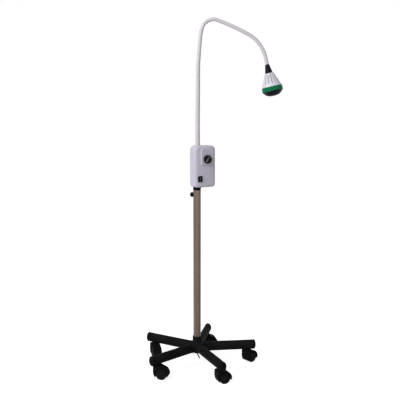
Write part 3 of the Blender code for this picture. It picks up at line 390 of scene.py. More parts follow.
blackCoat = plainGrained("black powder coat", blackCoatLook)
blackNylon = plainGrained("black nylon", blackNylonLook)
knobBlack = plainGrained("black knob plastic", knobBlackLook)
blackRubber = plainGrained("black rubber", rubberLook)
boxPlastic = plainGrained("lavender grey box plastic", boxPlasticLook)
platePlastic = plainGrained("dial plate plastic", platePlasticLook)
greenRing = plainGrained("green ring plastic", greenRingLook)
dialKnobBlack = plainGrained("glossy dial knob", dialKnobLook)
gripBlack = plainGrained("glossy knob grip", gripLook)
collarNavy = plainGrained("navy black collar", collarNavyLook)
blackSteel = plainGrained("blackened steel", blackSteelLook)
rockerGreen = plainGrained("dark green rocker", rockerLook)
rockerMark = plainGrained("rocker mark paint", markLook)
scaleInk = plainGrained("scale ink", inkLook)
ceramic = plainGrained("lamp base ceramic", ceramicLook)
boardGreen = plainGrained("circuit board", boardLook)
copperWinding = plainGrained("transformer iron and winding", windingLook)
brightSteel = plainGrained("bright steel", steelLook)
reflectorMetal = plainGrained("polished reflector", reflectorLook)


# colour and shade here, stretched down the tube, are partly painted reflection streaks
stainlessLook = {"colour": (0.160, 0.112, 0.091), "shade": (0.290, 0.212, 0.178), "roughness": (0.30, 0.42),
                 "stretch": (1, 1, 0.012), "blotchScale": 170, "glossScale": 450, "grainScale": 2200, "grain": 0.10,
                 "grainDepth": 0.00004, "Metallic": 0.22, "Specular IOR Level": 0.12}


# Drawn tube: long lines down its length, partly fine drawn lines and partly broad painted reflection streaks, and a
# slow tint of fingermarks over them.
def stainlessFinish(look):
    material, tree, shader, linesAndPaintedReflection = grainedFinish("drawn stainless tube", look)
    marks = addRange(tree, addNoise(tree, 9.0, 4.0), 0.0, 0.35, 0.45, 0.75)
    tree.links.new(mixColour(tree, marks, linesAndPaintedReflection, (0.150, 0.112, 0.096)), shader.inputs["Base Color"])
    return material


# Shell plastic with painted shade in its grooves: where the mesh marks a groove as 1, the colour is mixed towards a
# dark painted shade colour.
def shellFinish(look):
    material, tree, shader, body = grainedFinish("white shell plastic", look)
    groove = addNode(tree, "ShaderNodeAttribute", attribute_name="groove")
    # painted shade: the groove mark darkens the colour as if the grooves lay in shadow
    tree.links.new(mixColour(tree, groove.outputs["Fac"], body, look["paintedGrooveShade"]), shader.inputs["Base Color"])
    return material


wheelLook = dict(blackNylonLook, colour=(0.0105, 0.0108, 0.0106), shade=(0.0155, 0.0158, 0.0156))


# Wheel nylon with floor dust on the tread, which the mesh marks as 1.
def wheelFinish(look):
    material, tree, shader, body = grainedFinish("caster wheel nylon", look)
    tread = addNode(tree, "ShaderNodeAttribute", attribute_name="tread")
    patchy = addNode(tree, "ShaderNodeMath", operation="MULTIPLY")
    tree.links.new(tread.outputs["Fac"], patchy.inputs[0])
    tree.links.new(addRange(tree, addNoise(tree, 240, 4.0), 0.15, 0.60), patchy.inputs[1])
    dusty = mixColour(tree, patchy.outputs[0], body, (0.030, 0.028, 0.026))
    tree.links.new(dusty, shader.inputs["Base Color"])
    return material


sleeveLook = {"colour": (0.665, 0.628, 0.672), "shade": (0.695, 0.660, 0.702), "roughness": (0.38, 0.52),
              "blotchScale": 22, "glossScale": 70, "grainScale": 1800, "grain": 0.15, "grainDepth": 0.00008,
              "pitch": 3.2, "ripple": 0.10}


# Smooth sleeving that shows a little of the coil under it, as rings along the piece's own UV.
def sleeveFinish(look):
    material, tree, shader, colour = grainedFinish("pale grey sleeving", look)
    uv = addNode(tree, "ShaderNodeUVMap", uv_map="surface")
    rings = addNode(tree, "ShaderNodeTexWave", bands_direction="Y", Scale=1000 / look["pitch"] / 6.2832, Distortion=0.4)
    tree.links.new(uv.outputs["UV"], rings.inputs["Vector"])
    bump = tree.nodes["Bump"]
    first = addNode(tree, "ShaderNodeBump", Strength=look["ripple"], Distance=0.0003)
    tree.links.new(rings.outputs["Fac"], first.inputs["Height"])
    tree.links.new(first.outputs["Normal"], bump.inputs["Normal"])
    return material


glassLook = {"Transmission Weight": 0.85, "IOR": 1.48, "Specular IOR Level": 0.5}
darkGlassLook = {"Transmission Weight": 0.15, "IOR": 1.48, "Specular IOR Level": 0.004}


# Dark front glass, polished, with faint smears in its gloss.
def glassFinish(name, look, tint, roughness):
    material, tree, shader = newMaterial(name, look)
    smear = addNoise(tree, 60, 4.0)
    tree.links.new(addRamp(tree, smear, ((0.3, tint), (0.7, tuple(c * 0.86 for c in tint)))), shader.inputs["Base Color"])
    tree.links.new(addRange(tree, addNoise(tree, 140), *roughness), shader.inputs["Roughness"])
    return material


stainless = stainlessFinish(stainlessLook)
whiteShell = shellFinish(whiteShellLook)
wheelNylon = wheelFinish(wheelLook)
paleSleeve = sleeveFinish(sleeveLook)
frontGlass = glassFinish("dark front glass", darkGlassLook, (0.008, 0.008, 0.011), (0.06, 0.14))
bulbGlass = glassFinish("lamp capsule glass", glassLook, (0.82, 0.82, 0.80), (0.02, 0.05))
print("finishes made:", len(bpy.data.materials))


# rolling base

legSettings = {"axisHeight": 0.0865, "halfWidth": 0.017, "halfHeight": 0.022, "wall": 0.0022, "start": 0.0303,
               "end": 0.263, "edge": 0.0007, "sides": 72}
plugSettings = {"face": 0.2633, "rim": 1.028, "lip": 0.002, "dome": 0.011, "spigot": 0.020, "inside": 0.855}
beadSettings = {"radius": 0.0019, "distance": 0.0312, "ripples": 46, "ripple": 0.12}


# Oval sections square to a leg: (distance along it, share of its oval) for each row.
def ovalRows(rows, direction, sides):
    distance, share = np.array(rows, float).T
    sideways = np.cross(upward, direction)
    angle = np.linspace(0, 2 * np.pi, sides + 1)
    oval = (np.cos(angle)[:, None] * sideways * legSettings["halfWidth"]
            + np.sin(angle)[:, None] * upward * legSettings["halfHeight"])
    middle = poleAxis + upward * legSettings["axisHeight"] + distance[:, None] * direction
    return middle[:, None] + share[:, None, None] * oval


# A bead round the leg's oval: a small circle carried along it, with the ripples of the welding.
def weldBead(direction, settings, sides=120):
    angle = np.linspace(0, 2 * np.pi, sides + 1)
    sideways = np.cross(upward, direction)
    oval = (np.cos(angle)[:, None] * sideways * legSettings["halfWidth"]
            + np.sin(angle)[:, None] * upward * legSettings["halfHeight"])
    middle = poleAxis + upward * legSettings["axisHeight"] + settings["distance"] * direction
    size = settings["radius"] * (1 + settings["ripple"] * np.abs(np.sin(angle * settings["ripples"] / 2)))
    around = np.linspace(0, 2 * np.pi, 13)[:, None, None]
    return middle + oval + size[:, None] * (np.cos(around) * unit(oval) + np.sin(around) * direction)


def buildLeg(number):
    stem = np.array(joints[f"caster_swivel_{number}"]["pos_m"]) * (1, 1, 0)
    direction = unit(stem - poleAxis)
    leg, plug = legSettings, plugSettings
    inside = 1 - leg["wall"] / leg["halfWidth"]
    tube = softened([(leg["start"], 1.0), (leg["end"], 1.0), (leg["end"], inside), (leg["start"], inside),
                     (leg["start"], 1.0)], leg["edge"], 4, closed=True)
    addPiece(f"legTube{number}", ovalRows(tube, direction, leg["sides"]), blackCoat, "stand", "black_powder_coat",
             [f"leg_{number}"])
    a = np.radians(np.linspace(0, 90, 15))
    dome = np.stack([plug["face"] + plug["lip"] + (plug["dome"] - plug["lip"]) * np.sin(a), plug["rim"] * np.cos(a)], -1)
    back = plug["face"] - plug["spigot"]
    skirt = [(back, 0.0), (back, plug["inside"]), (plug["face"], plug["inside"]), (plug["face"], plug["rim"] - 0.02),
             (plug["face"] + 0.0004, plug["rim"])]
    addPiece(f"legPlug{number}", ovalRows(np.vstack([skirt, dome]), direction, leg["sides"]), blackNylon, "stand",
             "black_nylon", [f"leg_plug_{number}"])
    addPiece(f"weldBead{number}", weldBead(direction, beadSettings), blackCoat, "stand", "black_powder_coat")


hubSettings = {"flat": 0.030, "rounding": 26, "bottom": 0.0645, "top": 0.1085, "edge": 0.004, "bore": 0.0173,
               "floor": 0.0705, "leadHole": 0.0038, "collarRadius": 0.0205, "collarTop": 0.138}


# The hub's outline: a pentagon whose five flats add up as 1/r = (sum of (cos(angle to flat) / flat)^n)^(1/n),
# which rounds its corners.
def hubRadius(angle, settings):
    stems = [np.array(joints[f"caster_swivel_{number}"]["pos_m"]) - poleAxis for number in casterNumbers]
    flats = np.array([math.atan2(stem[1], stem[0]) for stem in stems])
    share = np.maximum(np.cos(angle[:, None] - flats), 0.0) / settings["flat"]
    return (share ** settings["rounding"]).sum(axis=1) ** (-1 / settings["rounding"])


def buildHub(settings):
    angle = np.linspace(0, 2 * np.pi, 181)
    circle = np.stack([np.cos(angle), np.sin(angle), 0 * angle], axis=-1)
    outline = hubRadius(angle, settings)
    a = np.radians(np.linspace(0, 90, 7))
    edge = settings["edge"]
    topEdge = [(edge * (1 - math.sin(t)), settings["top"] - edge * (1 - math.cos(t))) for t in a]
    bottomEdge = [(edge * (1 - math.cos(t)), settings["bottom"] + edge * (1 - math.sin(t))) for t in a]
    outer = [(outline - inset, height) for inset, height in topEdge + bottomEdge]
    inner = [(0 * outline + radius, height) for radius, height in (
        (settings["leadHole"], settings["bottom"]), (settings["leadHole"], settings["floor"]),
        (settings["bore"], settings["floor"]), (settings["bore"], settings["top"]))]
    rows = inner[-1:] + outer + inner
    grid = np.stack([poleAxis + upward * height + radius[:, None] * circle for radius, height in rows])
    addPiece("hubCore", grid, blackCoat, "stand", "black_powder_coat", ["hub"])
    radius, top, bottom = settings["collarRadius"], settings["collarTop"], settings["top"]
    collar = softened([(settings["bore"], bottom - 0.004), (radius + 0.004, bottom - 0.004), (radius + 0.004, bottom),
                       (radius, bottom + 0.004), (radius, top), (settings["bore"], top),
                       (settings["bore"], bottom - 0.004)], 0.0014, 5, closed=True)
    addPiece("hubCollar", turned(collar, poleAxis, upward, steps=96), blackCoat, "stand", "black_powder_coat")


screwSettings = {"height": 0.124, "angle": -62, "radius": 0.0032, "hex": 0.0017, "depth": 0.0018}


# A grub screw: its socket's wall is a hexagon, r = flat / cos(angle to the nearest flat).
def buildGrubScrew(settings):
    angle = math.radians(settings["angle"])
    outward = np.array((math.cos(angle), math.sin(angle), 0.0))
    face = hubSettings["collarRadius"] + 0.0002

    def hexWave(turn, radius, height):
        flat = np.mod(turn, math.pi / 3) - math.pi / 6
        return np.where(radius == settings["hex"], radius / np.cos(flat), radius)

    profile = [(0, face - settings["depth"]), (settings["hex"], face - settings["depth"]), (settings["hex"], face),
               (settings["radius"] - 0.0004, face), (settings["radius"], face - 0.0004), (settings["radius"], face - 0.003),
               (0, face - 0.003)]
    origin = poleAxis + upward * settings["height"]
    grid = turned(profile, origin, outward, upward, 48, hexWave)
    addPiece("grubScrew", grid, blackSteel, "stand", "steel")


for legNumber in casterNumbers:
    buildLeg(legNumber)
buildHub(hubSettings)
buildGrubScrew(screwSettings)
print("base built")


leadSettings = {"route": ((0.0, 0.0, 0.0730), (0.0, 0.0, 0.0625), (0.0025, -0.0020, 0.0515), (0.0075, -0.0060, 0.0405),
                          (0.0125, -0.0100, 0.0330)),
                "radius": 0.0033, "tip": 0.0026, "wall": 0.0009, "ribs": 9, "rib": 0.00035}


# The lead's sleeve thins towards its tip, and rings run round it: r = taper - depth (1 - |cos|)^2.
def buildLeadSleeve(settings):
    path = smoothPath(np.array(settings["route"]) + poleAxis)
    share = np.linspace(0, 1, 91)
    line = alongPath(path, share * pathLength(path))
    taper = settings["radius"] + (settings["tip"] - settings["radius"]) * share
    groove = np.where(share > 0.3, (1 - np.abs(np.cos(share * math.pi * settings["ribs"] * 1.4))) ** 2, 0.0)
    outer = taper - settings["rib"] * groove
    grid = hollowTube(line, outer, outer - settings["wall"], 28)
    addPiece("leadSleeve", grid, blackRubber, "stand", "black_rubber", ["lead_sleeve"], sharpAngle=60)


buildLeadSleeve(leadSettings)


# casters

casterSettings = {"hoodInner": 0.0282, "hoodOuter": 0.0312, "hoodEnd": 0.0296, "hoodBack": -18, "hoodShoulder": 10,
                  "webBack": 15, "bodyTop": 0.0625, "front": 0.016, "halfWidth": 0.0205, "noseAngle": 208, "noseReach": 0.0304,
                  "hoodRounding": 0.0004, "blockRounding": 0.0042, "webHalf": 0.0042, "bossRadius": 0.0115,
                  "bossTop": 0.0640, "stemRadius": 0.005, "stemTop": 0.0952}
wheelSettings = {"radius": 0.025, "half": 0.0075, "bore": 0.0043, "steps": 72}


def arcPoints(radius, start, end, steps):
    angle = np.radians(np.linspace(start, end, steps))
    return np.stack([radius * np.cos(angle), radius * np.sin(angle)], axis=-1)


# Side view of a caster's body, from the axle: the hood's outer arc, which draws in below its shoulder, the
# block that carries the stem, and the hood's inner arc back to a rounded end behind the wheels.
def bodyOutline(settings, trail, wheelRadius):
    top = settings["bodyTop"] - wheelRadius
    front = -trail - settings["front"]
    inner = settings["hoodInner"]
    nose = settings["noseAngle"]
    block = np.vstack([[(0.003, settings["hoodOuter"] + 0.0006), (-0.006, top), (front, top), (front, 0.004)],
                       arcPoints(settings["noseReach"], nose, nose, 1)])
    block = softened(np.vstack([arcPoints(settings["hoodOuter"], 78, 80, 2), block, arcPoints(inner, nose, nose - 4, 2)]),
                     (0.004, 0.004, 0.010, 0.006, 0.010, 0.0011, 0.0011), 7)
    angle = np.linspace(settings["hoodBack"], 79, 36)
    drawnIn = np.clip((settings["hoodShoulder"] - angle) / (settings["hoodShoulder"] - settings["hoodBack"]), 0, 1)
    reach = settings["hoodOuter"] - (settings["hoodOuter"] - settings["hoodEnd"]) * drawnIn ** 1.4
    outer = np.stack([reach * np.cos(np.radians(angle)), reach * np.sin(np.radians(angle))], axis=-1)
    end = arcPoints((inner + settings["hoodEnd"]) / 2, settings["hoodBack"] - 2, settings["hoodBack"] - 2, 1)
    outline = np.vstack([end, outer, block[1:-1], arcPoints(inner, nose - 5, settings["hoodBack"], 68)])
    return np.vstack([outline, outline[:1]])


# Profile of one wheel, (radius, distance out along the axle): crowned tread, rim lip and domed cap.
def wheelProfile(settings):
    r, half, bore = settings["radius"], settings["half"], settings["bore"]
    tread = softened([(bore, 0.003), (bore, -half), (r - 0.0012, -half), (r, -half + 0.0022), (r, half - 0.0040),
                      (r - 0.0018, half - 0.0008), (r - 0.0042, half), (r - 0.0052, half - 0.0006),
                      (r - 0.0058, half - 0.0022), (r - 0.0070, half - 0.0022)], 0.0011, 5)
    a = np.linspace(0, 1, 16)
    cap = np.stack([(r - 0.0070) * (1 - a), half - 0.0022 + 0.0020 * (1 - (1 - a) ** 2)], axis=-1)
    return np.vstack([(0, 0.003), tread, cap[1:]])


def buildCaster(number, settings, wheel):
    stem = np.array(joints[f"caster_swivel_{number}"]["pos_m"]) * (1, 1, 0)
    left, right = (joints[f"wheel_{side}_roll_{number}"] for side in ("left", "right"))
    axle = (np.array(left["pos_m"]) + np.array(right["pos_m"])) / 2
    trail = np.linalg.norm((axle - stem)[:2])
    ahead = unit((axle - stem) * (1, 1, 0))
    across = np.cross(upward, ahead)
    body = f"caster_{number}"

    def fromAxle(rows):
        return axle + rows[..., :1] * ahead + rows[..., 1:2] * upward + rows[..., 2:] * across

    outline = bodyOutline(settings, trail, axle[2])
    thick = np.clip((-outline[:, 0] - 0.004) / 0.012, 0, 1) * (np.linalg.norm(outline, axis=1) > settings["hoodOuter"] - 0.001)
    thick = thick * np.clip((outline[:, 1] - 0.004) / 0.008, 0, 1)
    rounding = settings["hoodRounding"] + (settings["blockRounding"] - settings["hoodRounding"]) * thick
    rounding = np.convolve(np.concatenate([rounding[-6:], rounding, rounding[:6]]), np.ones(13) / 13, "valid")
    addPiece(f"casterHood{number}", fromAxle(plateRows(outline, settings["halfWidth"], rounding, 7)), blackNylon, body,
             "black_nylon", [f"caster_fork_{number}"], capped=True)
    web = np.vstack([arcPoints(settings["hoodOuter"] - 0.0015, settings["webBack"], 165, 40), arcPoints(0.011, 215, 325, 14)])
    web = softened(np.vstack([web, web[:1]]), 0.001, 2, closed=True)
    addPiece(f"casterWeb{number}", fromAxle(plateRows(web, settings["webHalf"], 0.0008, 3)), blackNylon, body, "black_nylon",
             capped=True)
    bossBottom = settings["bodyTop"] - 0.003
    boss = softened([(0, bossBottom), (settings["bossRadius"] + 0.002, bossBottom),
                     (settings["bossRadius"] + 0.002, settings["bodyTop"]), (settings["bossRadius"], settings["bodyTop"] + 0.0025),
                     (settings["bossRadius"], settings["bossTop"]), (settings["stemRadius"], settings["bossTop"]),
                     (settings["stemRadius"], settings["stemTop"]), (0, settings["stemTop"])], 0.0012, 4)
    addPiece(f"casterStem{number}", turned(boss, stem, upward, steps=56), blackNylon, body, "black_nylon")
    profile = wheelProfile(wheel)
    dust = np.clip((profile[:, 0] - wheel["radius"] + 0.0014) / 0.0010, 0, 1)
    for side, joint, way in (("Left", left, 1), ("Right", right, -1)):
        grid = turned(profile, joint["pos_m"], across * way, upward, wheel["steps"])
        marks = {"tread": np.repeat(dust[:, None], wheel["steps"] + 1, axis=1)}
        addPiece(f"casterWheel{side}{number}", grid, wheelNylon, f"wheel_{side.lower()}_{number}", "black_nylon",
                 [f"caster_wheel_{side.lower()}_{number}"], marks=marks)


for casterNumber in casterNumbers:
    buildCaster(casterNumber, casterSettings, wheelSettings)
print("casters built")


# pole and clamp

poleSettings = {"radius": 0.017, "wall": 0.0015, "bottom": 0.0708, "top": 0.814, "clampHeight": 0.7935,
                "bossRadius": 0.0065, "bossEnd": 0.0178, "screw": 0.0033}
bushSettings = {"radius": 0.017, "lip": 0.018, "lipHeight": 0.005, "bore": 0.0135, "bottom": 0.8143, "top": 0.8268}
mastSettings = {"radius": 0.013, "wall": 0.0012, "foot": 0.42, "top": 0.8595}
clampSettings = {"radius": 0.0115, "face": 0.0177, "length": 0.0142, "rim": 0.0020, "screw": 0.003, "tip": 0.0135,
                 "lobes": 12, "lobe": 0.05}


# Closed wall of a tube between two radii, with its rims rounded.
def tubeWall(outer, inner, bottom, top, edge):
    return softened([(outer, bottom), (outer, top), (inner, top), (inner, bottom), (outer, bottom)], edge, 4, closed=True)


def buildPole(pole, bush, mast, clamp):
    wall = tubeWall(pole["radius"], pole["radius"] - pole["wall"], pole["bottom"], pole["top"], 0.0005)
    addPiece("poleTube", turned(wall, poleAxis, upward, steps=96), stainless, "stand", "stainless", ["pole"])
    at = poleAxis + upward * pole["clampHeight"]
    left = np.array((-1.0, 0.0, 0.0))
    boss = tubeWall(pole["bossRadius"], pole["screw"], pole["radius"] - 0.0008, pole["bossEnd"], 0.0006)
    addPiece("clampBoss", turned(boss, at, left, upward, 48), blackSteel, "stand", "steel")
    r, lip, bore, low, high = (bush[key] for key in ("radius", "lip", "bore", "bottom", "top"))
    lipBottom = high - bush["lipHeight"]
    ring = softened([(r, low), (r, lipBottom), (lip, lipBottom), (lip, high), (bore, high), (bore, low), (r, low)],
                    0.0006, 4, closed=True)
    addPiece("poleBush", turned(ring, poleAxis, upward, steps=80), blackNylon, "stand", "black_nylon", ["pole_bush"])
    tube = tubeWall(mast["radius"], mast["radius"] - mast["wall"], mast["foot"], mast["top"], 0.0004)
    addPiece("innerTube", turned(tube, poleAxis, upward, steps=80), stainless, "mast", "stainless", ["inner_tube"])
    r, face = clamp["radius"], clamp["face"]
    a = np.radians(np.linspace(0, 90, 19))
    dome = np.stack([r * np.cos(a), face + clamp["rim"] + (clamp["length"] - clamp["rim"]) * np.sin(a)], axis=-1)
    back = softened([(0, clamp["tip"]), (clamp["screw"], clamp["tip"]), (clamp["screw"], face), (r * 0.95, face),
                     (r, face + clamp["rim"] / 2), dome[0]], 0.0005, 4)
    knob = np.vstack([back[:-1], dome])

    # lobes of the grip: r (1 - d (1 - cos(n angle)) / 2), only near the knob's largest radius
    def lobes(angle, radius, height):
        near = np.clip((radius - r * 0.78) / (r * 0.2), 0, 1)
        return radius * (1 - clamp["lobe"] * near * (1 - np.cos(clamp["lobes"] * angle)) / 2)

    addPiece("clampKnob", turned(knob, at, left, upward, 108, lobes), knobBlack, "clamp_knob", "black_nylon", ["clamp_knob"])


buildPole(poleSettings, bushSettings, mastSettings, clampSettings)
print("pole built")


# control box

boxSettings = {"turn": 28, "left": -0.025, "right": 0.0787, "front": -0.032, "back": 0.029, "bottom": 0.8271,
               "top": 1.0121, "corner": (0.015, 0.022), "rounding": 0.011, "split": -0.015, "seam": 0.0005,
               "wall": 0.0025, "crown": 0.0030}
boxTurn = math.radians(boxSettings["turn"])
boxAcross = np.array((math.cos(boxTurn), math.sin(boxTurn), 0.0))
boxInward = np.array((-math.sin(boxTurn), math.cos(boxTurn), 0.0))


# Points given across the box, into it and up from the floor.
def inBox(across, inward, height):
    across, inward, height = np.broadcast_arrays(across, inward, height)
    return poleAxis + across[..., None] * boxAcross + inward[..., None] * boxInward + height[..., None] * upward


# Rounded rectangles moved in from the outline, one for each (inset, depth), as points in the box's frame.
def nestedRectangles(rows, left, right, bottom, top, corner, steps=10):
    rings = []
    for inset, depth in rows:
        shrunk = [max(radius - inset, 0.0004) for radius in corner]
        ring = roundedRectangle(left + inset, right - inset, bottom + inset, top - inset, shrunk, steps)
        rings.append(inBox(ring[:, 0], depth, ring[:, 1]))
    return np.stack(rings)


def poleRow(row):
    middle = (row.min(axis=0) + row.max(axis=0)) / 2
    return np.repeat(middle[None, None], len(row), axis=1)


# Rows that shrink a closed outline to its middle, so that a flat face has no long slivers.
def shrinkingRows(row, shares=(0.72, 0.42, 0.15)):
    middle = poleRow(row)[0, :1]
    return np.stack([middle + (row - middle) * share for share in shares])


# A face bulges a little across the box: it falls back by crown (x from the middle / half the width)^2, and
# less down the rounded rim, to nothing at the sides.
def crowned(grid, settings, face, away):
    middle, half = (settings["left"] + settings["right"]) / 2, (settings["right"] - settings["left"]) / 2
    across = ((grid - poleAxis) @ boxAcross - middle) / half
    depth = away * ((grid - poleAxis) @ boxInward - face)
    near = np.clip(1 - depth / settings["rounding"], 0, 1)
    return grid + (away * settings["crown"] * across ** 2 * near)[..., None] * boxInward


# Half of the case: in from the middle of its face, round its rim, along its side to the split and back inside.
def caseHalf(name, settings, face, away, slotName, node):
    a = np.radians(np.linspace(0, 90, 13))
    wall, rim = settings["wall"], settings["rounding"]
    split = settings["split"] - away * settings["seam"] / 2
    outside = [(rim * (1 - math.sin(t)), face + away * rim * (1 - math.cos(t))) for t in a]
    seam = [(0.0, split - away * 0.0006), (0.0006, split), (wall, split)]
    inside = [(wall + (rim - wall) * (1 - math.cos(t)), face + away * (wall + (rim - wall) * (1 - math.sin(t)))) for t in a]
    limits = [settings[key] for key in ("left", "right", "bottom", "top", "corner")]
    rows = nestedRectangles(outside + seam + inside, *limits)
    cover = shrinkingRows(rows[0], np.linspace(0.94, 0.06, 15))[::-1]
    lining = shrinkingRows(rows[-1])
    grid = np.vstack([poleRow(rows[0]), cover, rows, lining, poleRow(rows[-1])])
    addPiece(name, crowned(grid, settings, face, away), boxPlastic, "control_box", slotName, [node])


caseHalf("caseFront", boxSettings, boxSettings["front"], 1, "box_plastic", "front_cover")
caseHalf("caseBack", boxSettings, boxSettings["back"], -1, "box_plastic", "rear_housing")


flangeSettings = {"radius": 0.0130, "height": 0.0028, "bore": 0.0106}


def buildNeckFlange(settings, foot):
    top = boxSettings["top"]
    ring = softened([(settings["bore"], top - 0.002), (settings["radius"], top - 0.002), (settings["radius"], top + 0.0008),
                     (settings["radius"] - 0.0012, top + settings["height"]), (settings["bore"], top + settings["height"]),
                     (settings["bore"], top - 0.002)], 0.0008, 4, closed=True)
    addPiece("neckFlange", turned(ring, foot, upward, steps=64), boxPlastic, "control_box", "box_plastic")


caseScrewSettings = {"inset": 0.013, "radius": 0.0034, "height": 0.0013, "slot": 0.00045, "arm": 0.0020, "depth": 0.0008}


# A cross-headed screw: rings of a low dome, sunk where a point lies in one of the cross's two arms.
def crossScrew(settings, centre, outward):
    first, second = crossAxes(outward, upward)
    share = np.concatenate([np.linspace(0, 1, 22), [1.0]])
    angle = np.linspace(0, 2 * np.pi, 97)
    x = share[:, None] * settings["radius"] * np.cos(angle)
    y = share[:, None] * settings["radius"] * np.sin(angle)
    narrow, wide = np.minimum(np.abs(x), np.abs(y)), np.maximum(np.abs(x), np.abs(y))
    sunk = np.clip((settings["slot"] - narrow) / 0.0002 + 0.5, 0, 1) * np.clip((settings["arm"] - wide) / 0.0003, 0, 1)
    lift = settings["height"] * np.sqrt(np.maximum(1 - (share * 0.9) ** 2, 0))[:, None] - settings["depth"] * sunk
    lift[-1] = -0.0006
    points = centre + x[..., None] * first + y[..., None] * second + lift[..., None] * outward
    base = np.repeat((centre - 0.0006 * outward)[None, None], len(angle), axis=1)
    return np.vstack([points, base])


def buildCaseScrews(settings, box):
    inset = settings["inset"]
    places = [(x, z) for x in (box["left"] + inset, box["right"] - inset) for z in (box["bottom"] + inset, box["top"] - inset)]
    for number, (x, z) in enumerate(places, 1):
        grid = crossScrew(settings, inBox(x, box["back"], z), boxInward)
        addPiece(f"caseScrew{number}", grid, brightSteel, "control_box", "steel")


buildCaseScrews(caseScrewSettings, boxSettings)


plateSettings = {"left": 0.003, "right": 0.068, "bottom": 0.925, "top": 1.0, "corner": (0.009, 0.009),
                 "front": -0.0353, "slope": 0.0028, "sunk": 0.0030}
scaleSettings = {"x": 0.033, "z": 0.952, "dots": 11, "radius": 0.0238, "span": 270, "small": 0.0013, "large": 0.0018,
                 "thickness": 0.00012}


def buildDialPlate(settings, box):
    slope, front = settings["slope"], settings["front"]
    section = softened([(0.0, box["front"] + settings["sunk"]), (0.0, box["front"] - 0.0003), (slope, front),
                        (2 * slope, front)], 0.0006, 4)
    limits = [settings[key] for key in ("left", "right", "bottom", "top", "corner")]
    rows = nestedRectangles(section, *limits, steps=6)
    grid = np.vstack([poleRow(rows[0]), shrinkingRows(rows[0])[::-1], rows, shrinkingRows(rows[-1]), poleRow(rows[-1])])
    addPiece("dialPlate", grid, platePlastic, "control_box", "plate_plastic", ["dial_plate"])


# The dial's printed dots grow round the knob, each a low disc on the plate.
def buildDialScale(settings, plate):
    share = np.linspace(0, 1, settings["dots"])
    turn = np.radians(90 + settings["span"] / 2 - settings["span"] * share)
    size = settings["small"] + (settings["large"] - settings["small"]) * share
    ring = np.linspace(0, 2 * np.pi, 25)
    rows = ((0.0, 0.0), (1.0, 0.0), (1.0, settings["thickness"]), (0.0, settings["thickness"]))
    grids = []
    for angle, radius in zip(turn, size):
        x = settings["x"] + settings["radius"] * math.cos(angle)
        z = settings["z"] + settings["radius"] * math.sin(angle)
        grids.append(np.stack([inBox(x + radius * reach * np.cos(ring), plate["front"] - depth, z + radius * reach * np.sin(ring))
                               for reach, depth in rows]))
    addPiece("dialScale", grids, scaleInk, "control_box", "plate_plastic")


buildDialPlate(plateSettings, boxSettings)
buildDialScale(scaleSettings, plateSettings)


knobSettings = {"radius": 0.0192, "skirt": 0.009, "gap": 0.0005, "flutes": 44, "flute": 0.018, "gripHalf": 0.0074,
                "gripReach": 0.0157, "gripHeight": 0.0064, "lean": 0.70, "power": 6.0, "turn": 31, "dome": 0.0012}


# The grip is a block with soft edges, |x/a|^n + |y/b|^n + |z/c|^n = 1, that stands half sunk in the skirt, and
# its sides lean in: x is multiplied by 1 - lean z / c.
def gripBlock(centre, settings, axes, rows=49, columns=97):
    halfSizes = np.array((settings["gripHalf"], settings["gripReach"], settings["gripHeight"]))
    tilt = np.linspace(-np.pi / 2, np.pi / 2, rows)[:, None]
    turn = np.linspace(0, 2 * np.pi, columns)[None, :]
    ways = np.stack([np.cos(tilt) * np.cos(turn), np.cos(tilt) * np.sin(turn), np.sin(tilt) + 0 * turn], axis=-1)
    reach = (np.abs(ways / halfSizes) ** settings["power"]).sum(axis=-1) ** (-1 / settings["power"])
    block = reach[..., None] * ways
    block[..., 0] *= 1 - settings["lean"] * block[..., 2] / settings["gripHeight"]
    return centre + block @ np.stack(axes)


def buildKnob(settings, plate, scale):
    outward = -boxInward
    face = -plate["front"]  # distances out along the knob's axis, from the pole's plane
    origin = inBox(scale["x"], 0.0, scale["z"])
    low, high = face + settings["gap"], face + settings["gap"] + settings["skirt"]
    r = settings["radius"]
    dome = high + settings["dome"]
    profile = softened([(0, low), (r, low), (r, low + 0.0022), (r - 0.0008, high - 0.0012), (r - 0.0024, high),
                        (r * 0.64, high), (r * 0.48, dome), (0, dome)], 0.0012, 5)

    # fine flutes round the skirt: r (1 - d |sin(n angle / 2)|)
    def flutes(angle, radius, height):
        near = np.clip((radius - r * 0.84) / (r * 0.06), 0, 1)
        return radius * (1 - settings["flute"] * near * np.abs(np.sin(settings["flutes"] * angle / 2)))

    skirt = turned(profile, origin, outward, upward, 176, flutes)
    addPiece("dimmerKnob", skirt, dialKnobBlack, "dimmer_knob", "black_nylon", ["dimmer_knob"])
    turn = math.radians(settings["turn"])
    along = upward * math.cos(turn) + boxAcross * math.sin(turn)
    sideways = np.cross(along, outward)
    centre = origin + outward * high
    block = gripBlock(centre, settings, (sideways, along, outward))
    addPiece("knobGrip", block, gripBlack, "dimmer_knob", "black_nylon")


buildKnob(knobSettings, plateSettings, scaleSettings)


switchSettings = {"x": -0.001, "z": 0.866, "frame": (0.0215, 0.0258), "window": (0.0146, 0.0192), "proud": 0.0025, "edge": 0.0010,
                  "inside": 0.008, "rocker": (0.0138, 0.0178), "rockerBack": 0.0040, "middle": 0.0034, "ends": 0.0046, "tilt": 7,
                  "pivot": 0.0022, "mark": (0.0022, 0.0096), "markLift": 0.00025}


def rectangleAt(settings, size, depth, inset, corner):
    width, height = size
    x, z = settings["x"], settings["z"]
    sides = (x - width / 2, x + width / 2, z - height / 2, z + height / 2)
    return nestedRectangles([(inset, depth)], *sides, (corner, corner), 6)[0]


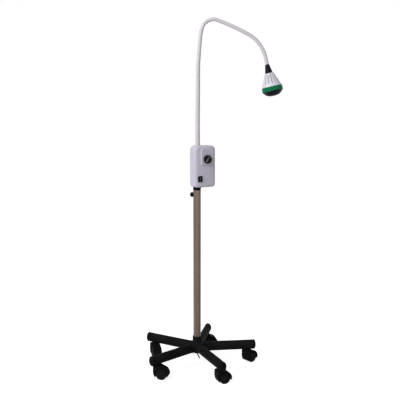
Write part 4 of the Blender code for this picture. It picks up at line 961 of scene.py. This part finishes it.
def buildSwitch(settings, box):
    face = box["front"] - settings["proud"]
    edge = settings["edge"]
    a = np.radians(np.linspace(0, 90, 6))
    outer = [rectangleAt(settings, settings["frame"], box["front"] - 0.0002, 0.0, 0.0016)]
    outer += [rectangleAt(settings, settings["frame"], face + edge * (1 - math.sin(t)), edge * (1 - math.cos(t)), 0.0016) for t in a]
    lip = [rectangleAt(settings, settings["window"], face + 0.0003 * (1 - math.cos(t)), -0.0003 * (1 - math.sin(t)), 0.0006) for t in a]
    inner = [rectangleAt(settings, settings["window"], box["front"] + settings["inside"], 0.0, 0.0006),
             rectangleAt(settings, settings["frame"], box["front"] + settings["inside"], 0.0021, 0.0006),
             rectangleAt(settings, settings["frame"], box["front"] - 0.0002, 0.0021, 0.0006)]
    rows = outer + lip + inner + outer[:1]
    addPiece("switchFrame", np.stack(rows), knobBlack, "control_box", "black_nylon", ["switch_frame"])


# The rocker's face is a hollow curve, deeper in the middle: depth = middle + (ends - middle) |z / half|^1.6.
# The whole of it is tilted about its pivot.
def rockerPoints(settings, box, x, depth, z, onFace):
    half = settings["rocker"][1] / 2
    hollow = settings["middle"] + (settings["ends"] - settings["middle"]) * np.abs(np.clip(z / half, -1, 1)) ** 1.6
    depth = np.where(onFace, depth - hollow, depth)
    tilt = math.radians(settings["tilt"])
    turnedDepth = depth * math.cos(tilt) - z * math.sin(tilt)
    turnedHeight = depth * math.sin(tilt) + z * math.cos(tilt)
    return inBox(settings["x"] + x, box["front"] + settings["pivot"] + turnedDepth, settings["z"] + turnedHeight)


def buildRocker(settings, box):
    width, height = settings["rocker"]
    a = np.radians(np.linspace(0, 90, 6))
    edge = 0.0009
    section = [(0.0, settings["rockerBack"], False)] + [(edge * (1 - math.cos(t)), edge * (1 - math.sin(t)), True) for t in a]
    section += [(inset, 0.0, True) for inset in (0.0018, 0.0030, 0.0044, 0.0058, 0.0066)]
    rows = []
    for inset, depth, onFace in section:
        ring = roundedRectangle(-width / 2 + inset, width / 2 - inset, -height / 2 + inset, height / 2 - inset,
                                (max(0.0012 - inset, 0.0002),) * 2, 5)
        rows.append(rockerPoints(settings, box, ring[:, 0], depth, ring[:, 1], onFace))
    back = rows[0]
    grid = np.vstack([poleRow(back), shrinkingRows(back)[::-1], np.stack(rows), poleRow(rows[-1])])
    addPiece("switchRocker", grid, rockerGreen, "switch_rocker", "rocker_green", ["switch_rocker"])


# A raised mark down the rocker's face: an oval rod, half sunk, whose width is w (1 - (z / half its length)^8)^(1/2).
def buildRockerMark(settings, box):
    half, lift = settings["mark"][1] / 2, settings["markLift"]
    z = np.linspace(-half, half, 61)[:, None]
    width = settings["mark"][0] / 2 * np.sqrt(1 - (z / half) ** 8)
    around = np.linspace(0, 2 * np.pi, 17)[None, :]
    thin = width / width.max()
    grid = rockerPoints(settings, box, width * np.cos(around), -lift * thin * np.sin(around), z, True)
    addPiece("rockerMark", grid, rockerMark, "switch_rocker", "rocker_green")


buildSwitch(switchSettings, boxSettings)
buildRocker(switchSettings, boxSettings)
buildRockerMark(switchSettings, boxSettings)


fuseSettings = {"x": 0.045, "y": 0.004, "radius": 0.0055, "cap": 0.0068}


def buildFuse(settings, box):
    origin = inBox(settings["x"], settings["y"], box["bottom"])
    cap = settings["cap"]
    profile = softened([(0, 0.020), (settings["radius"], 0.020), (settings["radius"], -0.0003), (cap, -0.0003), (cap, -0.0020),
                        (cap - 0.0010, -0.0030), (0, -0.0030)], 0.0006, 4)
    addPiece("fuseCap", turned(profile, origin, upward, steps=48), blackNylon, "control_box", "black_nylon", ["fuse_holder"])


buildFuse(fuseSettings, boxSettings)
print("control box built")


# gooseneck

neckSettings = {
    "route": ((0.0028, 0.0, 1.0123), (0.0029, 0.0, 1.1235), (0.0045, 0.0, 1.2625), (0.0057, 0.0, 1.3655),
              (0.0136, 0.0, 1.4665), (0.0199, 0.0, 1.5085), (0.0335, 0.0, 1.5380), (0.0665, 0.0, 1.5541),
              (0.1015, 0.0, 1.5460), (0.1710, 0.0, 1.5170), (0.2400, 0.0, 1.4800), (0.2750, -0.0005, 1.4431),
              (0.2937, -0.0015, 1.4058), (0.3020, -0.0026, 1.3732), (0.3043, -0.0030, 1.3632)),
    "sleeveEnds": (0.0, 0.225, 0.490, 0.720, None),  # None is the route's end
    "bends": ((0.03, 0.19), (0.25, 0.43), (0.60, 0.70), (0.735, 0.845)),
    "bodies": ("control_box", "neck_lower", "neck_arch", "neck_arm", "head"),
    "footRadius": 0.0105, "headRadius": 0.0081, "taper": 0.50, "wall": 0.0013, "spacing": 0.0025,
}
neckPath = smoothPath(np.array(neckSettings["route"]) + poleAxis)
neckLength = pathLength(neckPath)


def buildNeck(settings):
    ends = [neckLength if end is None else end for end in settings["sleeveEnds"]]
    for number, (start, end) in enumerate(zip(ends, ends[1:])):
        distance = np.linspace(start, end, math.ceil((end - start) / settings["spacing"]) + 1)
        line = alongPath(neckPath, distance)
        thin = np.clip(distance / settings["taper"], 0, 1)
        outer = settings["footRadius"] + (settings["headRadius"] - settings["footRadius"]) * thin
        grid = hollowTube(line, outer, outer - settings["wall"])
        lengthwise = np.concatenate([distance, distance[::-1], distance[:1]])
        around = np.linspace(0, 1, grid.shape[1])
        uv = np.stack(np.broadcast_arrays(around[None, :], lengthwise[:, None]), axis=-1)
        name = f"neckSleeve{number + 1}"
        piece = newObject(name, meshFromGrids(name, [grid], uv=uv), paleSleeve)
        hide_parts(f"neck_sleeve_{number + 1}")
        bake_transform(piece)


buildNeck(neckSettings)
buildNeckFlange(flangeSettings, neckPath[0] * (1, 1, 0))
print("gooseneck built")


# lamp head

headOrigin = neckPath[-1]
headAxis = unit(neckPath[-1] - neckPath[-2])
headSettings = {
    "collar": ((0.0060, 0.0000), (0.0088, 0.0000), (0.0170, 0.0385), (0.0110, 0.0385), (0.0060, 0.0270), (0.0060, 0.0000)),
    "ring": ((0.0410, 0.0975), (0.0440, 0.0975), (0.0451, 0.0988), (0.0457, 0.1150), (0.0451, 0.1170), (0.0410, 0.1170),
             (0.0410, 0.0975)),
    "bezel": ((0.0410, 0.1173), (0.0452, 0.1173), (0.0447, 0.1182), (0.0436, 0.1192), (0.0400, 0.1224), (0.0364, 0.1262),
              (0.0326, 0.1304), (0.0310, 0.1316), (0.0286, 0.1316), (0.0286, 0.1300), (0.0309, 0.1300), (0.0309, 0.1268),
              (0.0340, 0.1245), (0.0380, 0.1202), (0.0410, 0.1173)),
    "lens": ((0.0, 0.1271), (0.0306, 0.1271), (0.0306, 0.1297), (0.0282, 0.1297), (0.0282, 0.1314)),
    "lensDome": 0.1386,
}
shellSettings = {"outer": ((0.0120, 0.0388), (0.0180, 0.0388), (0.0203, 0.0400), (0.0215, 0.0425), (0.0438, 0.0972)),
                 "inner": ((0.0418, 0.0972), (0.0193, 0.0435), (0.0180, 0.0415), (0.0120, 0.0415)),
                 "flutes": 14, "phase": -3.9, "halfWidth": 0.0030, "depth": 0.0026, "from": 0.0440, "to": 0.0880, "steps": 420}


def addHeadPiece(name, profile, finish, slot, node, steps=120, wave=None, marks=None):
    grid = turned(profile, headOrigin, headAxis, toCamera, steps, wave)
    addPiece(name, grid, finish, "head", slot, [node] if node else (), marks=marks)


# The shell's flutes run down its cone: each takes depth (1 - (arc / half width)^2)^2 from the radius, between
# two heights that its ends fade in and out over.
def fluteWave(settings):
    step = 2 * np.pi / settings["flutes"]

    def sunk(angle, radius, height):
        offset = np.mod(angle - math.radians(settings["phase"]) + step / 2, step) - step / 2
        share = np.clip(1 - (offset * radius / settings["halfWidth"]) ** 2, 0, 1) ** 2
        fade = np.clip((height - settings["from"]) / 0.004, 0, 1) * np.clip((settings["to"] - height) / 0.008, 0, 1)
        return share * fade * fade * (3 - 2 * fade)

    return sunk


def buildHead(settings, shell):
    collar = softened(settings["collar"], 0.0012, 4, closed=True)
    addHeadPiece("headCollar", collar, collarNavy, "black_nylon", "head_collar")
    outer = softened(shell["outer"], 0.0012, 4)
    share = np.linspace(0, 1, 70)[:, None]
    cone = outer[-2] + (outer[-1] - outer[-2]) * share
    inner = np.array(shell["inner"])
    lining = inner[0] + (inner[1] - inner[0]) * share
    rows = np.vstack([outer[:-2], cone, lining, inner[2:], outer[:1]])
    sunk = fluteWave(shell)

    def wave(angle, radius, height):
        return radius - shell["depth"] * sunk(angle, radius, height)

    angle = np.linspace(0, 2 * np.pi, shell["steps"] + 1)
    # the flute depth is kept as a mark, which drives the shell's painted groove shade
    marks = {"groove": sunk(angle[None, :], rows[:, :1], rows[:, 1:])}
    addHeadPiece("headShell", rows, whiteShell, "white_plastic", "head_shell", shell["steps"], wave, marks)
    addHeadPiece("headRing", softened(settings["ring"], 0.0007, 4, closed=True), greenRing, "green_plastic", "head_ring")
    bezel = softened(settings["bezel"], 0.0012, 4, closed=True)
    addHeadPiece("headBezel", bezel, collarNavy, "black_nylon", "head_bezel")
    edge = np.array(settings["lens"][-1])
    a = np.radians(np.linspace(0, 90, 25))
    dome = np.stack([edge[0] * np.cos(a), edge[1] + (settings["lensDome"] - edge[1]) * np.sin(a)], axis=-1)
    addHeadPiece("frontLens", np.vstack([settings["lens"][:-1], dome]), frontGlass, "glass", "front_lens")


reflectorSettings = {"low": 0.0668, "high": 0.1160, "mouth": 0.0353, "throat": 0.0092, "wall": 0.0012, "facets": 24, "dimple": 0.02,
                     "lipRadius": 0.0403}
lampSettings = {"base": ((0.0, 0.0420), (0.0158, 0.0420), (0.0158, 0.0448), (0.0074, 0.0448), (0.0074, 0.0640), (0.0, 0.0640)),
                "capsule": ((0.0, 0.0636), (0.0052, 0.0636), (0.0054, 0.0700), (0.0054, 0.0830), (0.0042, 0.0885), (0.0020, 0.0912),
                            (0.0, 0.0919))}


# The reflector is a parabola of turning, height = low + k (r^2 - throat^2), whose facets dip its radius by d |sin|.
def buildReflector(settings):
    share = np.linspace(0, 1, 25)
    radius = settings["throat"] + (settings["mouth"] - settings["throat"]) * share
    rise = (radius ** 2 - settings["throat"] ** 2) / (settings["mouth"] ** 2 - settings["throat"] ** 2)
    height = settings["low"] + (settings["high"] - settings["low"]) * rise
    inside = np.stack([radius, height], axis=-1)
    outside = inside + (settings["wall"], -0.0004)
    lip = [(settings["lipRadius"], settings["high"] - 0.0004), (settings["lipRadius"], settings["high"] + 0.0008),
           (settings["mouth"], settings["high"] + 0.0008)]
    profile = np.vstack([inside, lip[::-1], outside[::-1], inside[:1]])

    def facets(angle, radius, height):
        return radius * (1 - settings["dimple"] * np.abs(np.sin(angle * settings["facets"] / 2)) * (radius < settings["mouth"]))

    addHeadPiece("reflectorBowl", profile, reflectorMetal, "aluminium", "reflector", 192, facets)


def buildLamp(settings):
    addHeadPiece("lampBase", softened(settings["base"], 0.0006, 3), ceramic, "ceramic", "halogen_lamp", 48)
    addHeadPiece("lampCapsule", softened(settings["capsule"], 0.0010, 4), bulbGlass, "glass", None, 48)


buildHead(headSettings, shellSettings)
buildReflector(reflectorSettings)
buildLamp(lampSettings)
print("lamp head built")


# finishes of the nodes that stay as they are

keptNodes = {"tube_nut": brightSteel, "potentiometer": brightSteel, "neck_socket": brightSteel, "transformer": copperWinding,
             "control_board": boardGreen}
keptNodes.update({f"neck_core_{number}": brightSteel for number in range(1, 6)})
for nodeName, nodeFinish in keptNodes.items():
    node = frame["nodes"][nodeName]
    node.data.materials.clear()
    node.data.materials.append(nodeFinish)


# floor and light

stageSettings = {"floorHalf": 30.0, "floorColour": (0.62, 0.62, 0.63), "floorGlow": 0.82, "skyGlow": 1.0, "skyLight": 0.30}
lampRig = (
    {"name": "keyLight", "place": (-2.3, -2.5, 2.9), "aim": (0.0, 0.0, 0.9), "size": 1.6, "power": 106},
    {"name": "fillLight", "place": (2.4, -3.0, 1.8), "aim": (0.0, 0.0, 0.8), "size": 2.4, "power": 6},
)


# Camera, mirror and see-through rays count as looking at the background.
def addLooking(tree):
    path = addNode(tree, "ShaderNodeLightPath")
    total = None
    for ray in ("Is Camera Ray", "Is Glossy Ray", "Is Transmission Ray"):
        if total is None:
            total = path.outputs[ray]
            continue
        add = addNode(tree, "ShaderNodeMath", operation="ADD", use_clamp=True)
        tree.links.new(total, add.inputs[0])
        tree.links.new(path.outputs[ray], add.inputs[1])
        total = add.outputs[0]
    return total


def scaled(tree, value, low, high):
    node = addNode(tree, "ShaderNodeMapRange")
    node.inputs["To Min"].default_value = low
    node.inputs["To Max"].default_value = high
    tree.links.new(value, node.inputs["Value"])
    return node.outputs["Result"]


def buildFloor(settings):
    half = settings["floorHalf"]
    x, y = np.meshgrid(np.linspace(-half, half, 3), np.linspace(-half, half, 3))
    sheet = np.stack([x, y, 0 * x - 0.0002], axis=-1)
    floor = bpy.data.objects.new("floor", meshFromGrids("floor", [sheet]))
    bpy.context.scene.collection.objects.link(floor)
    material = bpy.data.materials.new("pale floor")
    material.use_nodes = True
    tree = material.node_tree
    shader = tree.nodes["Principled BSDF"]
    shader.inputs["Base Color"].default_value = (*settings["floorColour"], 1.0)
    shader.inputs["Roughness"].default_value = 1.0
    shader.inputs["Specular IOR Level"].default_value = 0.0
    shader.inputs["Emission Color"].default_value = (1.0, 1.0, 1.0, 1.0)
    tree.links.new(scaled(tree, addLooking(tree), 0.0, settings["floorGlow"]), shader.inputs["Emission Strength"])
    floor.data.materials.append(material)


def buildLight(settings, rig):
    world = bpy.data.worlds.new("studio")
    bpy.context.scene.world = world
    world.use_nodes = True
    background = world.node_tree.nodes["Background"]
    background.inputs["Color"].default_value = (1.0, 1.0, 1.0, 1.0)
    strength = scaled(world.node_tree, addLooking(world.node_tree), settings["skyLight"], settings["skyGlow"])
    world.node_tree.links.new(strength, background.inputs["Strength"])
    for lamp in rig:
        light = bpy.data.lights.new(lamp["name"], "AREA")
        light.shape = "DISK"
        light.size = lamp["size"]
        light.energy = lamp["power"]
        item = bpy.data.objects.new(lamp["name"], light)
        bpy.context.scene.collection.objects.link(item)
        item.location = lamp["place"]
        away = np.array(lamp["place"]) - np.array(lamp["aim"])
        flat = math.hypot(away[0], away[1])
        item.rotation_euler = (math.atan2(flat, away[2]), 0, math.atan2(away[1], away[0]) + math.pi / 2)


buildFloor(stageSettings)
buildLight(stageSettings, lampRig)
bpy.context.scene.view_settings.view_transform = "Standard"
print("floor and light set")
